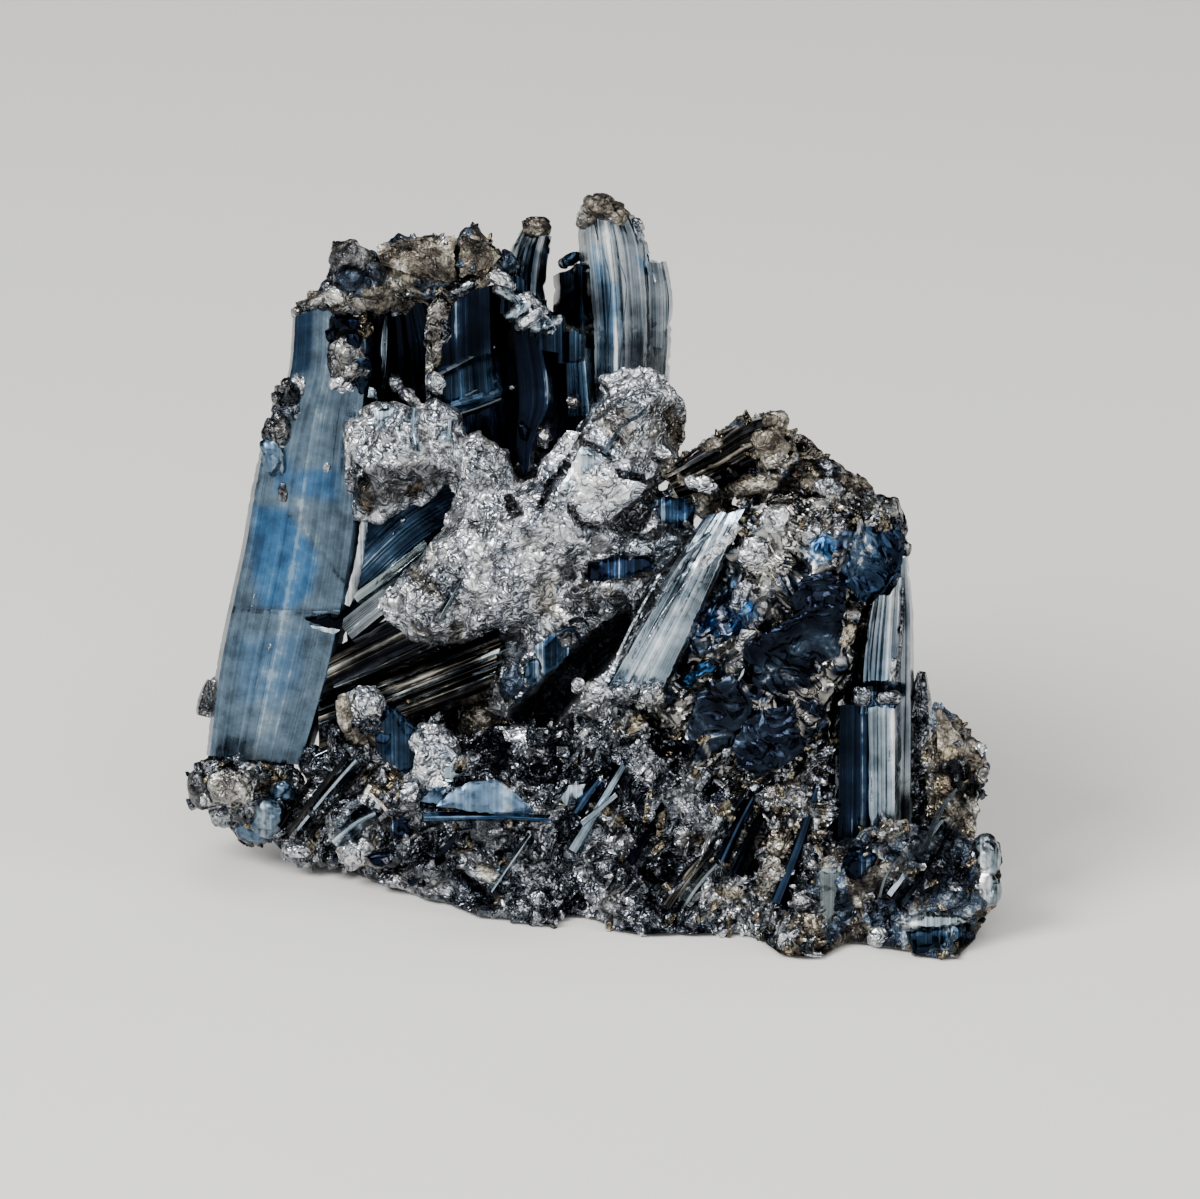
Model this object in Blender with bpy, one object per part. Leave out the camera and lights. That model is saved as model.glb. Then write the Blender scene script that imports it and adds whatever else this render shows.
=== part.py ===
"""Stibnite crystal spray: a free-standing cluster of intergrown metallic prisms.

Outlines are drawn in millimetres on the display face, which leans back by FACE_LEAN:
u runs to the right, v runs up the face, and depth is the distance behind the front
corner along +Y. Each crystal or intergrown group is one closed solid.
"""

import math
from collections import namedtuple
from random import Random

import bmesh
import bpy
from mathutils import Vector, geometry
from mathutils.bvhtree import BVHTree

# Driving dimensions, in millimetres and degrees.
MM = 0.001
FACE_LEAN = 20.0
JOINT_GAP = 0.3
SHARPEST_GROWTH = 2.0
BACK_COARSENESS = 2.0
BACK_PRISMS = 4
RIM_HALF = 0.25
GROUND_CLEARANCE = 0.5
RIB_RELIEF = 0.4
CUTTER_SPAN = 120.0
FLAT_ANGLE = 1.0
PROBE_START = -20.0
PROBE_END = 60.0
PRISM_SPREAD = 22.0

SIN_LEAN = math.sin(math.radians(FACE_LEAN))
COS_LEAN = math.cos(math.radians(FACE_LEAN))

# One cross-section of a blade: its two edges on the display face and its front depth.
Station = namedtuple("Station", "left right depth")
Finish = namedtuple("Finish", "colour roughness metallic")

FINISHES = {
    "steel_blue": Finish((0.16, 0.27, 0.42), 0.28, 0.9),
    "bright_silver": Finish((0.72, 0.74, 0.78), 0.25, 1.0),
    "dark_navy": Finish((0.02, 0.03, 0.06), 0.15, 0.9),
    "column_grey": Finish((0.32, 0.36, 0.39), 0.3, 0.9),
    "weathered_tan": Finish((0.33, 0.28, 0.2), 0.6, 0.5),
    "grain_grey": Finish((0.28, 0.29, 0.31), 0.45, 0.8),
}


def on_face(u, v, depth):
    """The world point, in metres, of a place on the display face at a depth."""
    return Vector((u, depth, (v - depth * SIN_LEAN) / COS_LEAN)) * MM


def clear_scene():
    for obj in list(bpy.data.objects):
        bpy.data.objects.remove(obj, do_unlink=True)


def closed_mesh(name, rings, foot_centre, tip_centre):
    """One closed mesh from rings of equal length, with a fan over each end."""
    shape = bmesh.new()
    made = [[shape.verts.new(point) for point in ring] for ring in rings]
    count = len(rings[0])
    for lower, upper in zip(made, made[1:]):
        for i in range(count):
            j = (i + 1) % count
            shape.faces.new((lower[i], lower[j], upper[j], upper[i]))
    foot = shape.verts.new(foot_centre)
    tip = shape.verts.new(tip_centre)
    for i in range(count):
        j = (i + 1) % count
        shape.faces.new((foot, made[0][j], made[0][i]))
        shape.faces.new((tip, made[-1][i], made[-1][j]))
    bmesh.ops.triangulate(shape, faces=shape.faces[:])
    bmesh.ops.recalc_face_normals(shape, faces=shape.faces[:])
    mesh = bpy.data.meshes.new(name)
    shape.to_mesh(mesh)
    shape.free()
    return mesh


def mean(points):
    return sum(points, Vector((0, 0, 0))) / len(points)


def rib_profile(ribs, relief, chamfer, thick, random):
    """(share of the width, depth) across a striated face, chamfered at both edges."""
    inner = [(chamfer + (1 - 2 * chamfer) * i / ribs) for i in range(ribs + 1)]
    profile = [(0.0, thick * 0.3)]
    for i, share in enumerate(inner):
        depth = random.uniform(0.1, 1.0) * relief * (i % 2)
        profile.append((share, depth))
    profile.append((1.0, thick * 0.3))
    return profile


def blade(stations, thick, ribs=4, relief=RIB_RELIEF, chamfer=0.08, jag=0.5, ridge=None,
          seed=1):
    """A striated prism lofted between its two drawn edges, from its foot to its tip.

    ridge, if given, is (share of the width, how far the edges fall back from it).
    """
    random = Random(seed)
    front = rib_profile(ribs, relief, chamfer, thick, random)
    back = rib_profile(max(2, ribs // 2), relief, chamfer * 2, thick, random)
    if ridge:
        crest, fall = ridge
        front = [(s, d + fall * abs(s - crest) / max(crest, 1 - crest)) for s, d in front]
    section = front + [(share, thick - depth) for share, depth in reversed(back)]
    rings = []
    for station in stations:
        (u0, v0), (u1, v1), depth = station
        rings.append([
            (u0 + (u1 - u0) * share, v0 + (v1 - v0) * share, depth + behind)
            for share, behind in section
        ])
    axis = Vector(rings[-1][0]) - Vector(rings[-2][0])
    axis = Vector((axis.x, axis.y, 0)).normalized()
    rings[-1] = [
        (u + axis.x * push, v + axis.y * push, depth)
        for (u, v, depth), push in (
            (point, random.uniform(-jag, jag)) for point in rings[-1]
        )
    ]
    world = [[on_face(*point) for point in ring] for ring in rings]
    return closed_mesh("blade", world, mean(world[0]), mean(world[-1]))


def edge_distance(outline, place):
    """How far a place inside an outline is from its nearest edge."""
    nearest = math.inf
    for start, end in zip(outline, outline[1:] + outline[:1]):
        share = geometry.intersect_point_line(place, Vector(start), Vector(end))[1]
        beside = Vector(start).lerp(Vector(end), max(0.0, min(1.0, share)))
        nearest = min(nearest, (place - beside).length)
    return nearest


def inside(outline, place):
    """Whether a place lies within an outline, by counting crossings to its right."""
    crossed = False
    u, v = place
    for (u0, v0), (u1, v1) in zip(outline, outline[1:] + outline[:1]):
        if (v0 > v) != (v1 > v) and u < u0 + (u1 - u0) * (v - v0) / (v1 - v0):
            crossed = not crossed
    return crossed


def inner_points(outline, spacing, random):
    """Jittered points in staggered rows inside an outline, clear of its edge."""
    us = [u for u, _ in outline]
    vs = [v for _, v in outline]
    points = []
    rows = int((max(vs) - min(vs)) / (spacing * 0.87)) + 1
    columns = int((max(us) - min(us)) / spacing) + 2
    for row in range(rows):
        for column in range(columns):
            u = min(us) + (column + 0.5 * (row % 2)) * spacing
            v = min(vs) + (row + 0.5) * spacing * 0.87
            place = Vector((u + random.uniform(-0.3, 0.3) * spacing,
                            v + random.uniform(-0.3, 0.3) * spacing))
            if inside(outline, place) and edge_distance(outline, place) > spacing * 0.4:
                points.append(place)
    return points


def mass(outline, rim, front, back, facet=2.4, rough=0.4, reach=4.0, seed=1):
    """A crumpled lump of flat facets with the given outline on the display face.

    Its widest line lies at the depth rim, but never under the ground. front and back are
    (depth at the left, depth at the right, change from bottom to top) of its middle.
    """
    random = Random(seed)
    low_u = min(u for u, _ in outline)
    low_v = min(v for _, v in outline)
    wide = max(u for u, _ in outline) - low_u
    tall = max(v for _, v in outline) - low_v
    shape = bmesh.new()

    def rim_depth(v):
        return min(rim, v / SIN_LEAN - GROUND_CLEARANCE)

    def skin(side, spacing, edge_verts):
        left, right, rise = side
        towards = -1 if side is front else 1
        inner = inner_points(outline, spacing, random)
        places = [Vector(place) for place in list(outline) + inner]
        count = len(outline)
        ring = [(i, (i + 1) % count) for i in range(count)]
        corners, _, faces, _, _, _ = geometry.delaunay_2d_cdt(places, ring, [], 1, 1e-5)
        verts = list(edge_verts)
        for u, v in corners[count:]:
            middle = left + (right - left) * (u - low_u) / wide + rise * (v - low_v) / tall
            share = min(1.0, edge_distance(outline, Vector((u, v))) / reach)
            share = math.sqrt(1 - (1 - share) ** 2)
            middle += random.uniform(-rough, rough) * 1.4
            depth = rim_depth(v) + (middle - rim_depth(v)) * share
            clear = rim_depth(v) + towards * RIM_HALF * 1.5
            depth = min(depth, clear) if side is front else max(depth, clear)
            verts.append(shape.verts.new(on_face(u, v, depth)))
        for face in faces:
            shape.faces.new([verts[i] for i in face])

    def rim_verts(behind):
        return [
            shape.verts.new(on_face(u, v, rim_depth(v) + behind - wander))
            for (u, v), wander in zip(outline, wanders)
        ]

    wanders = [random.uniform(0, RIM_HALF) for _ in outline]
    near = rim_verts(-RIM_HALF)
    far = rim_verts(RIM_HALF)
    skin(front, facet, near)
    skin(back, facet * BACK_COARSENESS, far)
    for i, j in zip(range(len(outline)), list(range(1, len(outline))) + [0]):
        shape.faces.new((near[i], near[j], far[j], far[i]))
    bmesh.ops.triangulate(shape, faces=shape.faces[:])
    bmesh.ops.recalc_face_normals(shape, faces=shape.faces[:])
    mesh = bpy.data.meshes.new("mass")
    shape.to_mesh(mesh)
    shape.free()
    return mesh


def boulder(centre, radii, rough=0.12, seed=1, detail=2):
    """A faceted lump round a world point, in millimetres."""
    random = Random(seed)
    shape = bmesh.new()
    bmesh.ops.create_icosphere(shape, subdivisions=detail, radius=1.0)
    for vert in shape.verts:
        swell = 1 + random.uniform(-rough, rough)
        offset = Vector([vert.co[i] * radii[i] * swell for i in range(3)])
        vert.co = (Vector(centre) + offset) * MM
    mesh = bpy.data.meshes.new("boulder")
    shape.to_mesh(mesh)
    shape.free()
    return mesh


def needle(foot, tip, width, sides=4, seed=1):
    """A small prism with a slanting point, between two world points in metres."""
    random = Random(seed)
    axis = (tip - foot).normalized()
    side = axis.cross(Vector((0, 1, 0.3))).normalized()
    other = axis.cross(side)
    turn = random.uniform(0, math.tau)
    half = width * MM / 2
    shoulder = tip - axis * half * random.uniform(0.4, 1.4)
    rings = []
    for centre, size in ((foot, half), (shoulder, half * random.uniform(0.8, 0.95))):
        rings.append([
            centre + (side * math.cos(turn + math.tau * i / sides)
                      + other * 0.7 * math.sin(turn + math.tau * i / sides)) * size
            for i in range(sides)
        ])
    return closed_mesh("needle", rings, foot, tip + side * half * 0.4)


def is_closed(mesh):
    shape = bmesh.new()
    shape.from_mesh(mesh)
    closed = all(len(edge.link_faces) == 2 for edge in shape.edges)
    shape.free()
    return closed


def boolean(obj, mesh, operation):
    """Joins a mesh to an object, or cuts it out.

    The exact solver does it, and the manifold solver where that leaves an open edge.
    """
    helper = bpy.data.objects.new("helper", mesh)
    bpy.context.scene.collection.objects.link(helper)
    for solver in ("EXACT", "MANIFOLD"):
        modifier = obj.modifiers.new(operation.lower(), "BOOLEAN")
        modifier.operation = operation
        modifier.solver = solver
        modifier.object = helper
        modifier.use_self = operation == "DIFFERENCE"
        graph = bpy.context.evaluated_depsgraph_get()
        result = bpy.data.meshes.new_from_object(obj.evaluated_get(graph))
        obj.modifiers.clear()
        if result.polygons and is_closed(result):
            break
    old = obj.data
    obj.data = result
    bpy.data.meshes.remove(old)
    bpy.data.objects.remove(helper, do_unlink=True)
    bpy.data.meshes.remove(mesh)


def tidy(obj):
    """Keeps the largest body, drops loose specks, joins flat faces, and triangulates."""
    shape = bmesh.new()
    shape.from_mesh(obj.data)
    todo = set(shape.faces)
    islands = []
    while todo:
        island = []
        stack = [todo.pop()]
        while stack:
            face = stack.pop()
            island.append(face)
            paired = [edge for edge in face.edges if len(edge.link_faces) == 2]
            beside = {other for edge in paired for other in edge.link_faces} & todo
            todo -= beside
            stack.extend(beside)
        islands.append(island)
    islands.sort(key=lambda island: sum(face.calc_area() for face in island))
    for island in islands[:-1]:
        bmesh.ops.delete(shape, geom=island, context="FACES")
    bmesh.ops.dissolve_limit(shape, angle_limit=math.radians(FLAT_ANGLE),
                             verts=shape.verts[:], edges=shape.edges[:])
    bmesh.ops.triangulate(shape, faces=shape.faces[:])
    shape.to_mesh(obj.data)
    shape.free()


def swollen(obj):
    """A copy of an object's mesh, larger by the joint gap all round."""
    shape = bmesh.new()
    shape.from_mesh(obj.data)
    shape.normal_update()
    moves = [
        vert.normal * JOINT_GAP * MM * min(vert.calc_shell_factor(), SHARPEST_GROWTH)
        for vert in shape.verts
    ]
    for vert, move in zip(shape.verts, moves):
        vert.co += move
    mesh = bpy.data.meshes.new("swollen")
    shape.to_mesh(mesh)
    shape.free()
    return mesh


def box_of(obj):
    corners = [vert.co for vert in obj.data.vertices]
    low = [min(corner[i] for corner in corners) for i in range(3)]
    high = [max(corner[i] for corner in corners) for i in range(3)]
    return low, high


def boxes_meet(first, second):
    (low_a, high_a), (low_b, high_b) = box_of(first), box_of(second)
    reach = JOINT_GAP * MM * 2
    return all(low_a[i] < high_b[i] + reach and low_b[i] < high_a[i] + reach for i in range(3))


def material(name):
    finish = FINISHES[name]
    made = bpy.data.materials.get(name) or bpy.data.materials.new(name)
    made.use_nodes = True
    shader = made.node_tree.nodes["Principled BSDF"]
    shader.inputs["Base Color"].default_value = (*finish.colour, 1)
    shader.inputs["Roughness"].default_value = finish.roughness
    shader.inputs["Metallic"].default_value = finish.metallic
    return made


def ground_cutter():
    """A block under the ground plane, which cuts the resting face flat."""
    shape = bmesh.new()
    bmesh.ops.create_cube(shape, size=CUTTER_SPAN * MM)
    for vert in shape.verts:
        vert.co.z -= CUTTER_SPAN * MM / 2
        vert.co.y += CUTTER_SPAN * MM / 4
    mesh = bpy.data.meshes.new("ground")
    shape.to_mesh(mesh)
    shape.free()
    return mesh


def add_node(name, finish, shapes, neighbours):
    """Joins a node's shapes in one solid and cuts it back from its neighbours."""
    obj = bpy.data.objects.new(name, shapes[0])
    bpy.context.scene.collection.objects.link(obj)
    for shape in shapes[1:]:
        boolean(obj, shape, "UNION")
    for neighbour in neighbours:
        if boxes_meet(obj, neighbour):
            boolean(obj, swollen(neighbour), "DIFFERENCE")
    if box_of(obj)[0][2] < 0:
        boolean(obj, ground_cutter(), "DIFFERENCE")
    tidy(obj)
    obj.data.name = name
    obj.data.materials.clear()
    obj.data.materials.append(material(finish))
    return obj


def stations(*rows):
    return [Station(*row) for row in rows]


def surface_depth(tree, u, v):
    """How deep the drawn shapes lie behind a place on the display face, or None."""
    start = on_face(u, v, PROBE_START)
    along = (on_face(u, v, PROBE_END) - start).normalized()
    hit = tree.ray_cast(start, along)[0]
    return None if hit is None else hit.y / MM


def sprinkle(shapes, patch, count, lean, length, width, seed):
    """Small prisms rooted on shapes inside a patch (u0, v0, u1, v1) of the display face."""
    random = Random(seed)
    shape = bmesh.new()
    for mesh in shapes:
        shape.from_mesh(mesh)
    tree = BVHTree.FromBMesh(shape)
    shape.free()
    u0, v0, u1, v1 = patch
    prisms = []
    for i in range(count):
        u = random.uniform(u0, u1)
        v = random.uniform(v0, v1)
        depth = surface_depth(tree, u, v)
        angle = math.radians(lean + random.uniform(-PRISM_SPREAD, PRISM_SPREAD))
        reach = random.uniform(*length)
        size = random.uniform(*width)
        if depth is None:
            continue
        foot = on_face(u, v, depth + size * 0.8)
        tip = on_face(u + math.cos(angle) * reach, v + math.sin(angle) * reach,
                      depth - size * random.uniform(0.1, 0.5))
        if tip.z > 0.2 * MM:
            prisms.append(needle(foot, tip, size, seed=seed * 1000 + i))
    return prisms


def left_blade():
    body = blade(stations(
        ((-33.1, 17.0), (-24.4, 16.1), 19.0),
        ((-32.0, 25.2), (-21.8, 24.6), 19.0),
        ((-30.9, 30.3), (-20.6, 30.0), 19.2),
        ((-29.8, 35.0), (-19.8, 35.0), 19.4),
        ((-28.8, 40.5), (-19.2, 40.5), 19.6),
        ((-27.4, 45.6), (-18.8, 46.3), 19.8),
        ((-26.0, 48.7), (-18.6, 49.9), 20.0),
        ((-25.0, 54.8), (-18.7, 55.0), 20.2),
    ), thick=6.5, ribs=5, relief=0.25, chamfer=0.09, jag=0.5, seed=3)
    bulge = blade(stations(
        ((-27.3, 44.1), (-24.7, 44.1), 19.2),
        ((-27.0, 48.5), (-24.1, 49.4), 19.4),
    ), thick=5.0, ribs=2, seed=4)
    stub = blade(stations(
        ((-34.1, 20.5), (-31.0, 19.8), 21.5),
        ((-33.5, 22.7), (-31.0, 22.5), 21.5),
        ((-32.7, 24.1), (-31.0, 24.6), 21.5),
    ), thick=3.6, ribs=2, seed=5)
    chip = blade(stations(
        ((-22.1, 46.5), (-18.5, 46.5), 19.2),
        ((-22.1, 54.3), (-18.6, 55.2), 19.4),
    ), thick=4.5, ribs=4, relief=0.6, jag=1.0, seed=6)
    return [body, bulge, stub, chip]


def crown_crust():
    head = mass([
        (-25.2, 55.2), (-24.1, 56.0), (-22.9, 56.8), (-22.1, 57.7), (-22.1, 58.9),
        (-21.1, 60.1), (-20.1, 60.6), (-18.3, 59.2), (-16.8, 58.2), (-15.1, 56.9),
        (-14.3, 55.6), (-15.5, 54.3), (-17.2, 54.5), (-18.7, 53.8), (-20.8, 54.1),
        (-23.1, 54.3),
    ], rim=21, front=(17.6, 17.8, 0), back=(27, 27, 0), facet=2.1, rough=0.45, reach=2.5, seed=7)
    cap = mass([
        (-18.1, 60.4), (-17.6, 60.7), (-14.9, 60.9), (-11.2, 61.3), (-9.9, 61.1),
        (-8.2, 60.1), (-7.1, 59.6), (-6.5, 58.4), (-7.4, 57.0), (-8.8, 56.4),
        (-10.5, 56.7), (-12.3, 55.8), (-13.6, 55.2), (-15.1, 55.8), (-16.4, 56.7),
        (-17.9, 58.0),
    ], rim=21, front=(17.2, 17.2, 0.6), back=(27, 27, 0), facet=1.9, rough=0.45, reach=2.2, seed=8)
    bridge = boulder((-16.5, 22.5, 53.4), (3.4, 3.6, 2.2), seed=9, detail=1)
    return [head, cap, bridge]


def dark_blades():
    left = blade(stations(
        ((-13.4, 43.8), (-6.6, 41.4), 20.0),
        ((-13.6, 49.0), (-7.4, 47.8), 20.2),
        ((-13.7, 55.8), (-7.7, 57.5), 20.5),
    ), thick=5.5, ribs=2, relief=0.2, seed=10)
    ledge = blade(stations(
        ((-13.4, 43.9), (-7.0, 42.7), 19.2),
        ((-13.5, 49.6), (-7.7, 51.9), 19.4),
    ), thick=3.0, ribs=3, relief=0.2, jag=0.15, seed=11)
    right = blade(stations(
        ((-6.2, 40.8), (-5.0, 41.4), 18.4),
        ((-7.0, 43.1), (-4.2, 43.8), 18.6),
        ((-7.4, 47.3), (-2.3, 47.0), 18.8),
        ((-7.7, 52.0), (-2.9, 51.6), 19.0),
        ((-7.8, 57.4), (-5.1, 56.2), 19.2),
    ), thick=6.0, ribs=2, relief=0.15, chamfer=0.12, seed=12)
    blue = blade(stations(
        ((-2.9, 46.0), (0.6, 46.0), 19.5),
        ((-2.9, 51.9), (0.0, 52.0), 19.7),
    ), thick=5.0, ribs=2, seed=13)
    plate = blade(stations(
        ((-22.5, 41.5), (1.2, 41.3), 24.6),
        ((-22.0, 52.0), (0.3, 51.6), 24.6),
        ((-21.0, 57.1), (-4.2, 55.8), 24.6),
    ), thick=5.6, ribs=2, relief=0.5, seed=14)
    bent = blade(stations(
        ((-18.3, 44.8), (-17.4, 44.8), 20.0),
        ((-17.9, 51.6), (-17.1, 51.9), 20.2),
        ((-17.8, 54.5), (-17.3, 54.7), 20.4),
    ), thick=5.5, ribs=2, relief=0.1, jag=0.2, seed=15)
    stub = blade(stations(
        ((-16.7, 44.8), (-14.4, 44.8), 21.0),
        ((-16.4, 49.2), (-14.8, 48.6), 21.0),
    ), thick=4.5, ribs=2, seed=16)
    ledges = [
        blade(stations(*rows), thick=5.5, ribs=1, relief=0.3, jag=0.35, seed=17 + i)
        for i, rows in enumerate((
            (((-7.6, 55.0), (-5.3, 54.8), 17.6), ((-7.4, 58.2), (-5.4, 57.9), 17.8)),
            (((-6.1, 53.2), (-3.7, 52.8), 17.6), ((-6.3, 56.7), (-3.7, 56.2), 17.8)),
            (((-4.6, 51.8), (-2.1, 51.4), 17.8), ((-4.7, 55.2), (-2.0, 54.5), 18.0)),
            (((-2.9, 50.6), (-0.7, 50.7), 18.0), ((-2.9, 53.6), (-0.7, 53.0), 18.2)),
        ))
    ]
    return [plate, left, ledge, right, blue, bent, stub, *ledges]


def small_column():
    return [blade(stations(
        ((-7.5, 53.3), (-3.8, 53.3), 22.5),
        ((-7.3, 57.1), (-3.8, 56.7), 22.5),
        ((-6.7, 60.3), (-3.5, 59.8), 22.6),
        ((-5.4, 62.6), (-3.1, 62.1), 22.8),
    ), thick=4.5, ribs=4, relief=0.4, jag=0.6, seed=22)]


def back_crystal():
    return [blade(stations(
        ((-2.9, 44.6), (1.4, 44.6), 25.0),
        ((-3.1, 53.3), (0.9, 53.3), 25.0),
        ((-3.2, 58.7), (0.6, 59.9), 25.0),
    ), thick=4.5, ribs=3, jag=0.3, seed=23)]


def tall_column():
    main = blade(stations(
        ((0.5, 42.9), (5.6, 42.9), 21.8),
        ((-0.2, 47.8), (5.4, 47.9), 21.8),
        ((-0.4, 53.3), (5.5, 53.4), 21.8),
        ((-0.7, 57.5), (5.3, 57.5), 21.9),
        ((-1.0, 61.1), (4.8, 60.9), 22.0),
        ((-0.9, 63.8), (3.7, 63.2), 22.2),
    ), thick=6.5, ribs=7, relief=0.6, chamfer=0.12, jag=0.8, seed=24)
    side = blade(stations(
        ((4.5, 42.9), (7.0, 42.9), 22.8),
        ((4.5, 47.9), (6.7, 47.9), 22.8),
        ((4.6, 53.3), (7.0, 53.4), 22.8),
        ((4.6, 57.0), (6.9, 57.0), 22.8),
        ((4.4, 59.8), (6.4, 59.5), 23.0),
    ), thick=5.0, ribs=2, relief=0.4, jag=0.4, seed=25)
    return [main, side]


def bright_core():
    left_arm = mass([
        (-18.2, 46.5), (-20.4, 45.1), (-21.1, 41.6), (-19.7, 37.7), (-17.9, 37.8),
        (-16.1, 38.3), (-13.6, 39.1), (-11.5, 40.0), (-10.7, 43.1), (-11.2, 45.8),
        (-13.6, 47.1), (-16.3, 47.2),
    ], rim=18, front=(14.6, 13.6, -0.6), back=(23, 23, 0), facet=1.9, rough=0.4, reach=3.2, seed=30)
    centre = mass([
        (-11.1, 43.9), (-9.4, 44.6), (-7.7, 42.4), (-6.0, 40.5), (-3.8, 42.1),
        (-2.0, 43.9), (0.9, 44.6), (4.7, 43.1), (5.5, 38.8), (3.0, 35.4), (0.9, 33.7),
        (-0.4, 30.3), (-3.4, 27.8), (-6.4, 26.5), (-9.4, 26.8), (-12.8, 26.8),
        (-15.7, 27.3), (-17.7, 28.5), (-18.4, 29.9), (-17.4, 31.2), (-14.9, 33.6),
        (-12.9, 36.6), (-11.7, 39.7),
    ], rim=17, front=(13.0, 11.4, -1.0), back=(25, 25, 0), facet=2.2, rough=0.5, reach=4.2,
        seed=31)
    right_arm = mass([
        (0.4, 47.3), (1.3, 49.0), (3.0, 50.1), (4.7, 50.1), (6.5, 49.4), (7.7, 47.2),
        (8.3, 45.2), (8.2, 43.3), (6.8, 41.4), (5.5, 39.5), (4.2, 37.1), (0.9, 36.3),
        (-2.1, 38.8), (-3.0, 42.1), (-1.5, 44.6), (-0.2, 46.3),
    ], rim=17, front=(12.4, 12.8, 0.4), back=(24, 24, 0), facet=2.0, rough=0.5, reach=3.6, seed=32)
    lower_arm = mass([
        (4.2, 39.1), (8.5, 40.4), (9.2, 38.0), (8.5, 35.4), (6.4, 32.7), (4.2, 30.2),
        (1.6, 25.9), (-0.9, 24.6), (-3.8, 21.7), (-6.1, 19.6), (-8.7, 20.8), (-8.5, 23.1),
        (-6.6, 26.3), (-5.1, 30.3), (-2.6, 33.7), (0.9, 36.3),
    ], rim=16.5, front=(13.4, 12.0, -1.0), back=(23, 23, 0), facet=2.2, rough=0.45, reach=3.2,
        seed=33)
    spine = boulder((-2, 22, 24), (12.5, 7.0, 14.5), seed=34)
    return [spine, left_arm, centre, right_arm, lower_arm]


def wedge_blade():
    return [blade(stations(
        ((-21.6, 38.6), (-20.8, 25.9), 20.5),
        ((-16.2, 44.0), (-15.1, 31.0), 20.5),
        ((-9.8, 46.0), (-10.2, 35.4), 20.5),
    ), thick=5.0, ribs=6, relief=0.2, ridge=(0.7, 1.6), seed=40)]


def striated_bundle():
    lower = blade(stations(
        ((-23.3, 21.7), (-23.3, 16.6), 17.5),
        ((-19.1, 24.6), (-17.9, 18.8), 16.5),
        ((-12.8, 26.9), (-12.8, 20.7), 15.0),
        ((-6.5, 28.3), (-8.3, 22.4), 14.0),
    ), thick=6.0, ribs=9, relief=0.8, seed=41)
    upper = blade(stations(
        ((-22.8, 25.7), (-23.1, 20.8), 19.0),
        ((-18.5, 29.3), (-18.5, 23.5), 18.5),
        ((-12.8, 31.2), (-12.8, 25.2), 18.0),
    ), thick=5.5, ribs=5, relief=0.5, seed=42)
    return [lower, upper]


def ridge_crystal():
    oblique = blade(stations(
        ((6.2, 41.2), (7.6, 38.8), 12.2),
        ((9.6, 43.4), (11.2, 39.5), 11.6),
        ((13.2, 45.6), (14.9, 41.2), 11.2),
        ((15.3, 46.3), (18.0, 42.1), 11.0),
    ), thick=7.6, ribs=6, relief=0.6, seed=56)
    crest = mass([
        (9.6, 43.4), (11.1, 44.6), (12.8, 45.4), (14.5, 46.2), (15.5, 46.2),
        (16.4, 45.0), (17.9, 43.9), (19.5, 42.9), (20.9, 42.1), (22.4, 40.6),
        (24.5, 39.3), (25.8, 38.8), (25.1, 37.0), (21.2, 37.6), (17.9, 38.0),
        (13.6, 37.6), (10.6, 36.7), (8.5, 37.8), (8.0, 40.4),
    ], rim=16, front=(12.2, 11.6, 0), back=(23, 23, 0), facet=2.2, rough=0.45, reach=3.0, seed=51)
    return [crest, oblique]


def pale_blade():
    return [blade(stations(
        ((0.7, 22.4), (6.5, 22.4), 8.5),
        ((5.1, 29.8), (9.7, 29.7), 8.5),
        ((8.8, 36.1), (12.9, 37.1), 9.5),
        ((10.5, 38.6), (13.6, 38.6), 10.0),
    ), thick=6.0, ribs=8, relief=0.5, seed=55)]


def right_block():
    body = mass([
        (11.2, 35.9), (12.8, 38.4), (15.7, 39.5), (19.1, 39.5), (22.5, 39.3),
        (25.8, 38.8), (26.4, 37.5), (26.9, 35.5), (26.7, 33.7), (26.3, 31.6),
        (24.7, 29.1), (23.1, 26.9), (22.6, 22.7), (21.1, 17.0), (17.9, 13.8),
        (14.5, 13.0), (10.6, 13.6), (7.0, 16.4), (4.6, 22.3), (6.7, 26.9), (8.4, 31.2),
    ], rim=13, front=(8.4, 8.0, 1.0), back=(25, 25, 0), facet=3.3, rough=0.3, reach=3.0, seed=60)
    face = blade(stations(
        ((7.5, 15.6), (16.9, 15.6), 7.4),
        ((12.3, 26.9), (23.0, 26.1), 7.4),
        ((17.0, 37.1), (26.0, 36.3), 8.8),
    ), thick=6.0, ribs=4, relief=0.5, jag=0.8, seed=61)
    return [body, face]


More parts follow.
